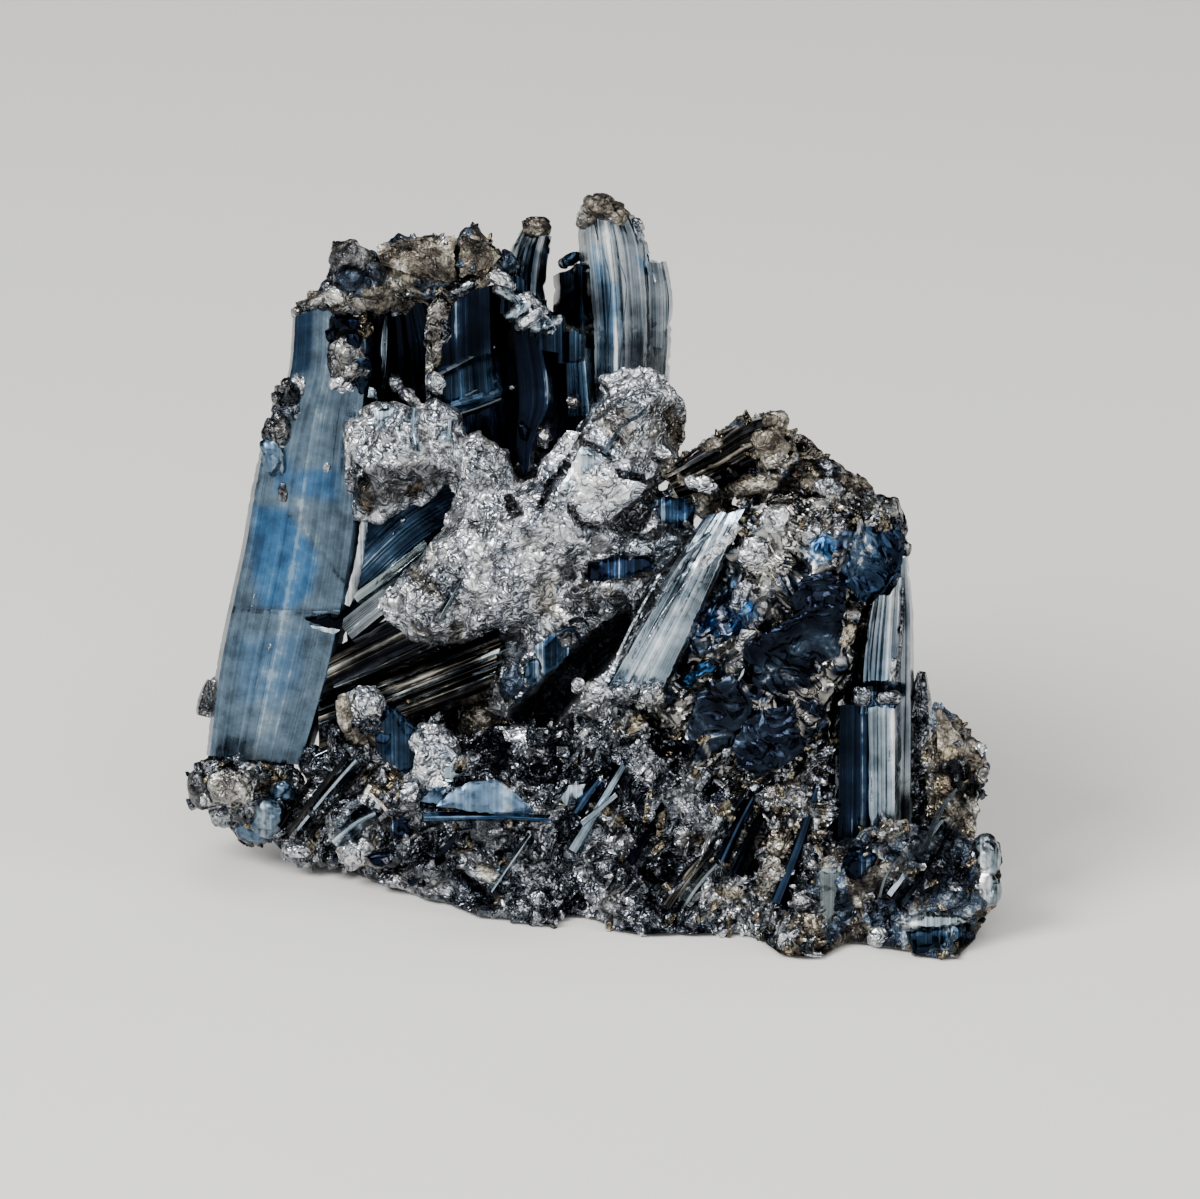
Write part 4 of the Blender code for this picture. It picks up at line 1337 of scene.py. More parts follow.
# Deeply striated prism: dark metal, its near-black a painted dark reflection, with long, thin, bright
# growth lines that are painted highlights.
DARK_LINED = Lustre(
    "stibnite_striated_prism_dark",
    ((0.0, "#0a0b0e"), (0.42, "#1c1d20"), (0.6, "#47443d"), (0.78, "#a39f93"), (1.0, "#f4f3ef")),
    ((0.0, "#0b1320"), (0.42, "#1c3350"), (0.6, "#3f6688"), (0.78, "#9fb6c8"), (1.0, "#f2f6f9")),
    (0.12, 0.3), Pattern.STRIATED, line=0.22, blotch=8.0, facet=1.2, facet_tilt=0.04)
# Striated column: grey metal with white lines that are painted highlights, and blue where it is tarnished.
COLUMN_GREY = Lustre(
    "stibnite_striated_prism_grey",
    ((0.0, "#262c33"), (0.3, "#626c75"), (0.55, "#8a949b"), (0.8, "#b5bec4"), (1.0, "#f3f6f8")),
    ((0.0, "#1c2936"), (0.3, "#40586f"), (0.55, "#5f7d98"), (0.8, "#9bb0c2"), (1.0, "#f0f4f7")),
    (0.14, 0.34), Pattern.STRIATED, line=0.28, blotch=6.0, facet=1.0, facet_tilt=0.05)
# Light cleavage face: pale steel with white lines that are painted highlights.
PALE_STEEL = Lustre(
    "stibnite_cleavage_pale_steel",
    ((0.0, "#46535d"), (0.3, "#7b8c99"), (0.6, "#a6b6c2"), (0.85, "#d8e1e8"), (1.0, "#ffffff")),
    ((0.0, "#3c4447"), (0.35, "#6f7b7e"), (0.65, "#9ba6a8"), (1.0, "#e8eced")),
    (0.14, 0.32), Pattern.STRIATED, line=0.25, blotch=4.0, facet=1.0, facet_tilt=0.05)
# Weathered crust: dull brown-gold oxide over grey crystal.
CRUST_TAN = Lustre(
    "stibnite_weathered_oxide_crust",
    ((0.0, "#1c1a18"), (0.3, "#504a43"), (0.55, "#80796d"), (0.8, "#b4ad9f"), (1.0, "#efece5")),
    ((0.0, "#10151f"), (0.35, "#2c3848"), (0.65, "#57677a"), (0.85, "#9aa7b5"), (1.0, "#e6ebf0")),
    (0.26, 0.55), Pattern.CRUMPLED, line=0.3, blotch=2.6, facet=0.6, facet_tilt=0.2,
    crease=0.08, metallic=0.9)
# Conchoidal break: near-black navy faces, a painted dark reflection, that meet in thin, pale, chipped rims
# painted as highlights through the pale fold colour.
DARK_BREAK = Lustre(
    "stibnite_conchoidal_break_dark",
    ((0.0, "#070910"), (0.35, "#10141d"), (0.65, "#1c2431"), (0.9, "#394656"), (1.0, "#a2a8ad")),
    VIVID_BLUE, (0.12, 0.34), Pattern.CRUMPLED, line=0.3, blotch=4.0, facet=2.2,
    facet_tilt=0.1, painted_fold_colour="#b4b1aa")
# Broken block: silver-brown metal with rough relief, vividly blue in pockets.
SILVER_BROWN = Lustre(
    "stibnite_fractured_silver_brown",
    ((0.0, "#14161a"), (0.3, "#3f4246"), (0.55, "#787a7c"), (0.8, "#adaba5"), (1.0, "#eceef0")),
    VIVID_BLUE, (0.14, 0.4), Pattern.CRUMPLED, line=0.3, blotch=2.4, facet=0.7,
    facet_tilt=0.22, crease=0.08)
# Granular crystal: sparkling grey with tan and white grains.
GRAIN_GREY = Lustre(
    "stibnite_granular_sparkling_grey",
    ((0.0, "#0d0f14"), (0.25, "#32373f"), (0.5, "#787e86"), (0.75, "#bbbfc5"), (1.0, "#fbfcfd")),
    TAN_CRUST, (0.12, 0.36), Pattern.CRUMPLED, line=0.4, blotch=2.6, facet=0.7,
    facet_tilt=0.26, crease=0.1)


# -------------------- pieces


Finishes = tuple[Lustre, ...]
Prisms = tuple[Prism, ...]
Stains = tuple[Stain, ...]
Seated = tuple[Knob | Plate | Bar, ...]
Grains = tuple[GrainField, ...]


@dataclass(frozen=True)
class Piece:
    """A crystal or intergrown group: its surfaces, its finishes and the solids it shows.

    Attributes:
        name: the piece's name.
        nodes: the solids that it shows in fine.
        slot: not used.
        finishes: its finishes, which its surfaces pick by number.
        prisms: its large crystals.
        mass: its crumpled lump.
        stains: patches drawn on crystals and lump.
        seated: small crystals, faces and lumps seated on them.
        grains: fields of small grains.
        sharp: the angle above which its edges are crisp, in degrees.
    """

    name: str
    nodes: tuple[str, ...]
    slot: str
    finishes: Finishes
    prisms: Prisms = ()
    mass: CrumpledMass | None = None
    stains: Stains = ()
    seated: Seated = ()
    grains: Grains = ()
    sharp: float = 28.0

    def build(self, library: dict[str, Material]) -> Object:
        """Builds the piece and ties it to the frame.

        Args:
            library: the materials made so far, by name.

        Returns:
            The finished object.
        """
        made = self._mesh_object(self.skins())
        self._dress(made, library)
        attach(made, "root")
        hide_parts(*self.nodes)
        LOG.info("%s: %d faces", self.name, len(made.data.polygons))
        return made

    def skins(self) -> list[Skin]:
        """Makes all its surfaces, the large ones first.

        Returns:
            The surfaces.
        """
        large = [prism.build() for prism in self.prisms]
        if self.mass:
            large.append(self.mass.build())
        for skin in large:
            front = outward(skin)[:, 1] < FACING
            for stain in self.stains:
                stain.apply(skin, front)
        bed = Bed(joined(large))
        small = [crystal.build(bed) for crystal in self.seated]
        small += [grains.build(large[-1]) for grains in self.grains]
        return large + small

    def _dress(self, made: Object, library: dict[str, Material]) -> None:
        """Gives the mesh its finishes, made once for all pieces.

        Args:
            made: the piece.
            library: the materials made so far, by name.
        """
        for finish in self.finishes:
            if finish.name not in library:
                library[finish.name] = finish.build()
            made.data.materials.append(library[finish.name])

    def _mesh_object(self, skins: list[Skin]) -> Object:
        """Joins surfaces in one mesh with its grain, tone and tint.

        Args:
            skins: the surfaces.

        Returns:
            The object.
        """
        mesh = bpy.data.meshes.new(self.name)
        whole = joined(skins)
        slots = [skin.finish for skin in skins for _ in skin.faces]
        mesh.from_pydata(whole.points.tolist(), [], whole.faces)
        mesh.polygons.foreach_set("material_index", slots)
        corner = np.empty(len(mesh.loops), dtype=np.int32)
        mesh.loops.foreach_get("vertex_index", corner)
        layer = mesh.uv_layers.new(name="grain")
        layer.data.foreach_set("uv", whole.grain[corner].ravel())
        for name, values in (("tone", whole.tone), ("tint", whole.tint)):
            mesh.attributes.new(name, "FLOAT", "POINT").data.foreach_set("value", values)
        mesh.shade_smooth()
        mesh.set_sharp_from_angle(angle=math.radians(self.sharp))
        made = bpy.data.objects.new(self.name, mesh)
        bpy.context.scene.collection.objects.link(made)
        return made


@dataclass(frozen=True)
class LeftBlade(Piece):
    """The great blue-grey tabular crystal on the left, with its side growths."""

    name: str = "left_blade_crystal"
    nodes: tuple[str, ...] = ("left_blade",)
    slot: str = "steel_blue"
    finishes: Finishes = (BLUE_FACE, DARK_MIRROR, PALE_STEEL, BRIGHT_CRUMPLE, SILVER_BROWN)
    prisms: Prisms = (
        Prism("-331 170 -244 161 190 -320 252 -218 246 190 -309 303 -206 300 192 -298 350 -198 350 "
            "194 -288 405 -192 405 196 -274 456 -188 463 198 -260 487 -186 499 200 -252 548 -187 572 202",
            6.5, 0.34, 0.012, 0.4, 0, 8, 0.22, ((0, 0),), 1, 0.045, 0.03),
        Prism("-341 205 -310 198 215 -335 227 -310 225 215 -327 241 -310 246 215", 3.6, 0.35,
            0.12, 1, 4, 5),)
    stains: Stains = (
        Stain("-286 384 -258 381 -239 354 -231 334 -239 310 -253 296 -283 297 -290 337", None, 0.5, 0, 1),
        Stain("-303 269 -245 277 -249 236 -269 214 -299 217", None, 1, 0, 0.5),
        Stain("-271 428 -257 428 -254 404 -268 397", None, 0.5, 0, 0.9),
        Stain("-253 413 -214 416 -215 387 -253 394", None, 0.7, 0, 0.9),
        Stain("-254 549 -234 554 -234 506 -237 493 -258 493 -258 518", 0.5, 0.4),
        Stain("-239 547 -236 547 -236 507 -239 507", None, 0.15, 0, 1),
        Stain("-254 549 -235 554 -236 499 -257 494", 0.5, 0.2, 0, 0.8),
        Stain("-219 554 -194 554 -196 485 -215 485", 0.5),
        Stain("-258 485 -196 489 -194 451 -263 451", 0.88, 0.6),
        Stain("-258 379 -245 362 -228 343 -217 326 -206 315 -200 340 -195 375 -231 381", 0.8, 0.15, 0.12,
            0),
        # A thin set-back line darkened as painted shade in the blade's horizontal crack.
        Stain("-309 299 -275 298 -245 295 -206 297 -206 295 -245 292 -275 294 -309 296", 0.55, 0.15, 0.1),
        Stain("-328 188 -283 176 -239 170 -245 150 -321 159", 0.75, 0.8, 0.1),
        Stain("-297 373 -287 373 -297 299 -308 299", 0.9, 0.8),
        Stain("-243 277 -213 277 -231 173 -258 173", 0.92, 1.2),
        Stain("-234 551 -222 549 -222 470 -234 470", 0.85, 0.5),)
    seated: Seated = (
        Plate("-244 287 -231 291 -209 295 -214 278 -228 280", 0.22, (0.15, 0.2), 1, 1, 7, tone=0.5),
        Plate("-240 282 -214 278 -220 274 -234 279", 0.3, (0, 0), 1, 2, 8, 0.1),
        Plate("-188 485 -182 482 -180 474 -189 476", 0.5, (0, 0), 1.2, 2, 9, 0.15, spacing=0.2),
        Plate("-195 376 -189 375 -194 337 -199 313 -206 298 -210 300 -200 340", 0.25, (0.5, 0), 2, 2, 10,
            0.06, tint=0.35),
        # The small bright slivers next are painted highlights: glints on the blade's face given as pale
        # crystal slivers.
        Bar("-289 298 -286 311", 0.35, 0.12, 0.6, 3, 11), Bar("-223 296 -222 304", 0.16, 0.1, 0.5, 3, 12),
        Bar("-277 247 -273 267", 0.3, 0.12, 0.6, 3, 13), Bar("-267 263 -264 275", 0.16, 0.1, 0.5, 2, 14),
        Bar("-287 227 -283 242", 0.2, 0.1, 0.5, 2, 15), Bar("-276 274 -274 284", 0.18, 0.1, 0.5, 3, 16),
        Bar("-251 194 -247 205", 0.3, 0.12, 0.6, 2, 17), Bar("-262 241 -257 248", 0.14, 0.1, 0.4, 2, 18),
        Bar("-219 399 -216 411", 0.2, 0.1, 0.5, 2, 19),
        Knob("-224 416 2.8 3 3", sunk=0.1, square=1, detail=3),
        Knob("-259 478 10.9 12.4 15", ((1.3, 0.5, 0.2, 21), (0.6, 0.4, 0.06, 24)), 4, 0.3, 0.7, 12),
        Knob("-259 464 10.9 9.5 14", (1, 0.5, 0.2, 22), 4, 0.3, 0.7, -10, 0.2),
        Knob("-266 448 11.9 14.3 15", (1.1, 0.35, 0.15, 23), 4, 0.3, 1),
        Knob("-270 424 8.6 15.7 12", (1, 0.5, 0.2, 24), 0, 0.2, 0.7, 10, 0.3),
        Knob("-262 395 4.8 10 5", finish=4, sunk=0.2, square=1),
        Knob("-248 485 7.1 10.9 5", (0.5, 0.35, 0.12, 25), 3, 0.25, 1, 0, 0.3),
        Knob("-251 466 5.2 8.1 5", (0.5, 0.35, 0.12, 26), 3, 0.2, 1),
        Bar("-277 447 -257 442", 0.18, 1.3, 1.2, 2, 27), Bar("-277 441 -256 438", 0.16, 1.3, 1.2, 2, 28),
        Bar("-276 435 -258 434", 0.14, 1.2, 1.2, 2, 29),
        Knob("-208 529 15.7 14.8 11", ((1.8, 0.45, 0.2, 31), (0.6, 0.3, 0.06, 32)), 1, 0.25, 0.7),
        Knob("-206 506 16.2 19 11", ((1.6, 0.5, 0.25, 33), (0.6, 0.35, 0.08, 34)), 4, 0.25, 0.7, 20),
        Knob("-210 488 11.4 9.5 8", (1, 0.4, 0.15, 35), 3, 0.15, 1),
        Knob("-193 494 8.1 19 9", (1.2, 0.4, 0.15, 36), 1, 0.2, 0.8, 0, 0.5),
        Knob("-192 535 7.1 10.9 9", (0.6, 0.4, 0.12, 37), 3, 0.1, 1, 0, 1),
        Knob("-248 548 6.2 5.2 16", (0.9, 0.35, 0.12, 38), 4, 0.6, 0.8, 20, 0, 21.5),
        Knob("-238 553 10 5.7 18", (0.9, 0.35, 0.12, 39), 4, 0.6, 0.8, 22, 0, 21.5),
        Knob("-224 557 10.9 7.6 19", (0.9, 0.35, 0.12, 40), 4, 0.6, 0.8, 30, 0, 21.3),
        Knob("-208 551 14.3 7.1 16", (0.9, 0.35, 0.12, 41), 4, 0.6, 0.8, -10, 0, 20.8),)


@dataclass(frozen=True)
class CrownCrust(Piece):
    """The weathered lump and cap that bridge the top."""

    name: str = "crown_crust_rough"
    nodes: tuple[str, ...] = ("crown_crust",)
    slot: str = "weathered_tan"
    finishes: Finishes = (CRUST_TAN, GRAIN_GREY, BRIGHT_CRUMPLE, DARK_MIRROR)
    mass: CrumpledMass | None = CrumpledMass("crown_crust", 0.2, (FacetField(3, 0.35, 0.3, 11),
        FacetField(1.4, 0.3, 0.1, 12), FacetField(0.7, 0.2, 0.02, 13)), 0.5, 0.4)
    stains: Stains = (
        Stain("-219 592 -196 605 -182 587 -177 570 -206 563 -221 575", None, 0.5, 0, 1),
        Stain("-146 597 -114 599 -114 572 -134 573 -151 580", 0.75, 0.3, 0.3, 0),
        # The next two thin set-back lines are cracks darkened as painted shade.
        Stain("-114 604 -110 604 -113 575 -117 575", 0.3, 0.2, 0.4),
        Stain("-110 575 -84 587 -82 580 -108 567", 0.25, 0.2, 0.3),)
    seated: Seated = (
        Knob("-201 591 17.1 13.1 18", ((1.8, 0.25, 0.15, 14), (0.6, 0.25, 0.04, 15)), 0, 0.4, 1, 0, 0.5),
        Knob("-215 561 10 8.6 11", (1, 0.3, 0.1, 16), 2, 0.2, 1, 20, 0.3),
        Knob("-203 575 13.1 10.7 12", (1.2, 0.3, 0.12, 17), 0, 0.3, 1, 0, 1),
        Knob("-182 580 11.9 8.1 11", (0.8, 0.35, 0.12, 18), 0, 0.2, 1, -35, 0.8),
        Knob("-166 572 10.9 6.2 9", (0.6, 0.35, 0.1, 19), 2, 0.1, 1, -30, 0.5),
        Knob("-194 556 19 8.1 11", (0.9, 0.4, 0.15, 20), 0, 0.3, 1, -12, 0.2),
        Knob("-229 558 13.1 4.3 9", (0.9, 0.35, 0.1, 21), 0, 0.2, 1, 25, 0.3),
        Knob("-158 564 14.3 5.7 9", (0.7, 0.4, 0.12, 22), 1, 0.2, 1, 0, 0.6),
        Plate("-181 603 -146 608 -114 612 -112 604 -144 598 -178 593", 1.3, (0.02, 0.7), 3, 0, 23, 0.5,
            0.3),
        Plate("-179 594 -144 599 -114 604 -114 573 -134 574 -153 579 -175 587", 1.2, (0.05, -0.2), 3, 0,
            24, 0.5, 0.6),
        Plate("-110 610 -89 606 -75 594 -82 586 -110 576", 1.2, (0.35, 0.1), 3, 0, 25, 0.5, 0.5),
        Plate("-144 595 -116 598 -118 575 -131 576 -139 582", 1.5, (-0.1, 0.3), 2, 0, 29, 0.4, 0.5, 0, 0.6),
        Knob("-122 580 9.5 8.1 10", (1, 0.3, 0.1, 26), 0, 0.2, 0.8),
        Knob("-70 589 8.6 8.1 10", (0.9, 0.35, 0.12, 27), 0, 0.2, 0.8, 0, 1),)
    grains: Grains = (
        GrainField((-26, 51, -6, 62), 110, (0.4, 0.8), (0.5, 0.9), 90, 60, 0.4, False, 5, (0.4, 1), 0.3,
            1, 28),)


@dataclass(frozen=True)
class DarkBlades(Piece):
    """The dark mirror-like blades under the cap, with their ledges and window, backed by a near-black plate
    of painted shade.
    """

    name: str = "dark_blade_crystals"
    nodes: tuple[str, ...] = ("dark_blades",)
    slot: str = "dark_navy"
    finishes: Finishes = (DARK_MIRROR, COLUMN_GREY, BRIGHT_CRUMPLE, CRUST_TAN, PALE_STEEL, GRAIN_GREY)
    prisms: Prisms = (
        # The first, farthest prism is that plate behind the window: near-black painted shade standing in
        # for the dark gap.
        Prism("-225 415 12 413 246 -220 520 3 516 246 -210 571 -42 558 246", 5.6, 0.8, 0.1, 0.3,
            0, 20, 0.6, tone=0.25),
        Prism("-134 438 -66 414 200 -136 490 -74 478 202 -137 558 -77 575 205", 5.5, 0.7, 0.03,
            0.4, 0, 21, 0.3),
        Prism("-134 439 -70 427 192 -133 490 -77 515 194", 3, 0.5, 0.06, 0.2, 0, 22, 0.3),
        Prism("-62 408 -50 414 184 -70 431 -42 438 186 -74 473 -23 470 188 -77 520 -29 516 190 -78 "
            "574 -51 562 192", 6, 0.8, 0.025, 0.5, 0, 23, 0.3, tone=0.8),
        Prism("-29 460 6 460 195 -29 519 0 520 197", 5, 0.5, 0.06, 0.5, 0, 24, tints=((0, 0.9),
            (1, 0.7))),
        Prism("-139 436 -131 436 194 -141 490 -131 488 194 -140 552 -126 556 196", 3, 0.3, 0.2,
            0.8, 5, 26, tone=0.9, wander=0.3),
        Prism("-78 546 -52 542 179 -77 584 -54 580 180", relief=0.15, seed=16, tints=((0, 0.3),
            (1, 0.8))),
        Prism("-63 529 -36 524 179 -64 569 -37 563 180", relief=0.15, seed=17, tints=((0, 0.3),
            (1, 0.8))),
        Prism("-46 516 -20 512 181 -47 554 -20 547 182", relief=0.15, seed=18, tints=((0, 0.3),
            (1, 0.8))),
        Prism("-29 504 -4 505 183 -29 538 -4 532 184", relief=0.15, seed=19, tints=((0, 0.3), (1,
            0.8))),
        Prism("-180 476 -177 474 203 -179 499 -173 494 201 -182 517 -170 513 199 -179 534 -170 536 "
            "200 -175 547 -171 545 202", 3.5, 0.3, 0.05, 0.2, 4, 25, 0.2, wander=0.03, crest=(0.45, 0.5)),)
    stains: Stains = (
        Stain("-121 494 -78 518 -76 485 -101 473 -120 466", None, 1, 0, 1),
        Stain("-78 537 -70 537 -65 483 -74 483", tint=0.8),
        Stain("-120 547 -82 561 -80 539 -110 523", 0.6, 0.8),)
    seated: Seated = (
        Bar("-137 491 -120 500 -99 511 -79 520", 0.3, 0.4, 1.2, 1, 30, 0.8, 0.7),
        Bar("-106 477 -91 485 -77 491", 0.14, 0.3, 1, 1, 31, 0.7),
        Bar("-122 466 -96 474 -75 482", 0.9, 0.4, 1, 1, 32, 0.8, tint=1),
        Bar("-116 460 -94 467 -74 475", 0.7, 0.6, 1, 1, 33, 0.7),
        Plate("-138 550 -128 566 -99 574 -91 570 -114 556 -122 539 -126 518 -133 499 -139 495", 0.7, (0.2,
            0), 2, 5, 35, 0.4, 0.6, 0.5, 0.8),
        Knob("-128 551 8.1 11.9 9", (0.7, 0.4, 0.15, 36), 3, 0, 1, -20, 0.4),
        Knob("-126 532 8.1 10.5 8", (0.6, 0.4, 0.15, 37), 5, 0, 1),
        Knob("-131 511 5.7 11.9 7", (0.6, 0.4, 0.15, 38), 3, 0, 1),
        Knob("-108 566 14.3 5.2 8", (0.6, 0.4, 0.12, 39), 5, 0, 1, 25),
        Knob("-130 488 9.5 9.5 9", (0.8, 0.4, 0.15, 40), 2, 0.1, 1),
        Knob("-165 488 6 8.1 10", (0.7, 0.25, 0.08, 41), 5, 0.6, 1, 15, 0, 19.6),
        Knob("-153 476 12.4 5.7 10", (0.7, 0.3, 0.1, 42), 5, 0.6, 1, -40, 0, 19.4),
        Knob("-133 468 7.6 6.2 10", (0.7, 0.3, 0.1, 43), 5, 0.6, 1, depth=19.2),
        Knob("-144 466 7.1 4.3 8", (0.5, 0.3, 0.1, 44), 2, 0.6, 1, 0, 0.4, 19),
        Knob("-75 573 11.9 5.7 12", (1, 0.4, 0.12, 45), 2, 0.1, 0.8, -30),
        Knob("-68 561 14.8 5.2 13", (1.2, 0.3, 0.1, 46), 1, 0.1, 0.8, -25),
        Knob("-59 550 15.7 5.7 14", (1.2, 0.35, 0.1, 47), 4, 0.1, 0.8, 30),
        Knob("-50 542 14.8 5.7 14", (1, 0.4, 0.1, 48), 2, 0.1, 0.8, 35),
        Knob("-37 536 14.3 6.2 14", (1.2, 0.35, 0.1, 49), 4, 0.1, 0.8, 20),
        Knob("-19 532 11.4 6.7 12", (0.8, 0.35, 0.12, 50), 2, 0.1, 0.8, -30, 0.8),
        Knob("-49 556 8.6 4.8 12", (0.7, 0.4, 0.1, 51), 2, 0.1, 0.8, -40, 0.2),
        Bar("-72 563 -63 558 -57 547", 0.3, 1.5, 1.2, 4, 52),
        Bar("-59 562 -51 551 -48 539", 0.3, 1.5, 1.2, 2, 53),
        Bar("-43 547 -33 539 -28 529", 0.3, 1.5, 1.2, 2, 54),
        Knob("-42 443 7.8 9.5 5", (0.8, 0.4, 0.12, 55), 2, 0, 1, 30),
        Knob("-43 449 3 2.2 5", (0.9, 0.3, 0.1, 5), 2, -0.2, 1, 0, 1, None, 3),
        Knob("-66 484 2 1.6 3", finish=2, square=1, detail=3),
        Knob("-56 446 4.5 8.3 4", (0.9, 0.3, 0.1, 5), 0, 0, 1, 20, 0.5),
        Knob("-14 471 5.8 5.4 8", (0.5, 0.35, 0.1, 56), 2, 0, 1, 0, 0.7),)


@dataclass(frozen=True)
class SmallColumn(Piece):
    """The short broken column behind the cap."""

    name: str = "small_column_crystal"
    nodes: tuple[str, ...] = ("small_column",)
    slot: str = "column_grey"
    finishes: Finishes = (COLUMN_GREY, CRUST_TAN, DARK_MIRROR, PALE_STEEL)
    prisms: Prisms = (
        Prism("-75 533 -38 533 225 -73 571 -38 567 225 -67 603 -35 598 226 -54 626 -31 621 228",
            4.5, 0.3, 0.16, 1, 0, 31),)
    stains: Stains = (Stain("-53 609 -39 598 -37 578 -45 563 -60 580", 0.3, 0.2, 0, 0.8),)
    seated: Seated = (
        Knob("-45 620 10.7 8.3 16", ((1.2, 0.4, 0.2, 32), (0.5, 0.3, 0.04, 33)), 1, 0.8),
        Bar("-68 594 -59 611 -53 616", 0.35, 0.15, 1.2, 3, 34),
        Bar("-61 590 -53 609 -50 613", 0.28, 0.15, 1.2, 3, 35),
        Bar("-36 598 -34 613", 0.3, 0.15, 1.2, 3, 36, 0.8),)


@dataclass(frozen=True)
class BackColumn(Piece):
    """The dark crystal between the small and the tall column."""

    name: str = "back_column_crystal"
    nodes: tuple[str, ...] = ("back_crystal",)
    slot: str = "dark_navy"
    finishes: Finishes = (DARK_MIRROR, GRAIN_GREY)
    prisms: Prisms = (
        Prism("-29 446 14 446 250 -31 533 9 533 250 -32 587 6 599 250", 4.5, 0.5, 0.05, seed=32,
            tints=((0, 0.2), (0.5, 0.6), (1, 0.3))),)
    seated: Seated = (
        Knob("-14 584 2.2 2.2 4", (0.9, 0.3, 0.1, 5), 1, 0.1, 1, 0, 0.5, None, 3),
        Knob("-18 593 10.3 5.4 12", (0.9, 0.3, 0.1, 33), 0, 0.6, 1, 25, 0.4, 26.2),)


@dataclass(frozen=True)
class TallColumn(Piece):
    """The tall, gently bent striated column with its side crystal and rough top."""

    name: str = "tall_column_crystal"
    nodes: tuple[str, ...] = ("tall_column",)
    slot: str = "column_grey"
    finishes: Finishes = (COLUMN_GREY, PALE_STEEL, CRUST_TAN, BRIGHT_CRUMPLE)
    prisms: Prisms = (
        Prism("5 429 56 429 218 -2 478 54 479 218 -4 533 55 534 218 -7 575 53 575 219 -10 611 48 "
            "609 220 -8 643 34 636 222", 6.5, 0.4, 0.1, 1, 0, 33, 0.3, chamfer=0.12),
        Prism("45 429 70 429 228 45 479 67 479 228 46 533 70 534 228 46 570 69 570 228 44 598 64 "
            "595 230", 5, 0.35, 0.12, seed=34),)
    stains: Stains = (
        Stain("-1 605 12 605 18 567 18 495 7 487 9 557", None, 0.25, 0, 1),
        # A thin set-back groove darkened as painted shade.
        Stain("9 574 16 570 15 495 10 491", 0.5, 0.1, 0.12, 1),
        Stain("17 574 26 572 23 491 17 491", None, 0.2, 0, 1),
        Stain("29 574 62 574 62 499 29 499", 0.75, 0.5), Stain("-8 557 7 557 4 499 -4 495", 0.8, 0.4),
        Stain("42 598 50 580 46 578 38 594", None, 0.2, 0, 1),)
    seated: Seated = (
        Bar("16 626 18 613 22 596 29 578 28 537 24 493", 0.26, 0.25, seed=35),
        Bar("11 601 17 572 15 537 11 487", 0.2, 0.2, seed=36),
        Bar("22 625 25 603 32 580", 0.16, 0.2, seed=37), Bar("41 620 45 603 51 578", 0.3, 0.2, seed=38),
        Bar("50 598 53 584 56 572", 0.16, 0.4, seed=39), Bar("63 586 67 563 64 516", 0.22, 0.2, seed=40),
        Bar("3 625 7 607", 0.3, 0.2, seed=41), Bar("34 623 35 598 40 574", 0.14, 0.2, 1, 1, 42, 0.8),
        Knob("9 636 16.5 10.7 19", ((1.4, 0.4, 0.2, 43), (0.5, 0.35, 0.05, 44)), 2, 1, turn=-10),
        Knob("-2 626 8.7 8.3 14", (0.9, 0.4, 0.15, 45), 2, 0.7, tint=0.2),
        Knob("24 630 9.5 8.3 15", (0.9, 0.4, 0.15, 46), 2, 0.8, turn=-35),
        Knob("17 629 5 6.2 9", (0.5, 0.35, 0.08, 47), 3, 0.2, 1),
        Knob("40 621 5.4 7 10", (0.6, 0.35, 0.08, 48), 3, 0.4, 0.9, 20, 0.3),)


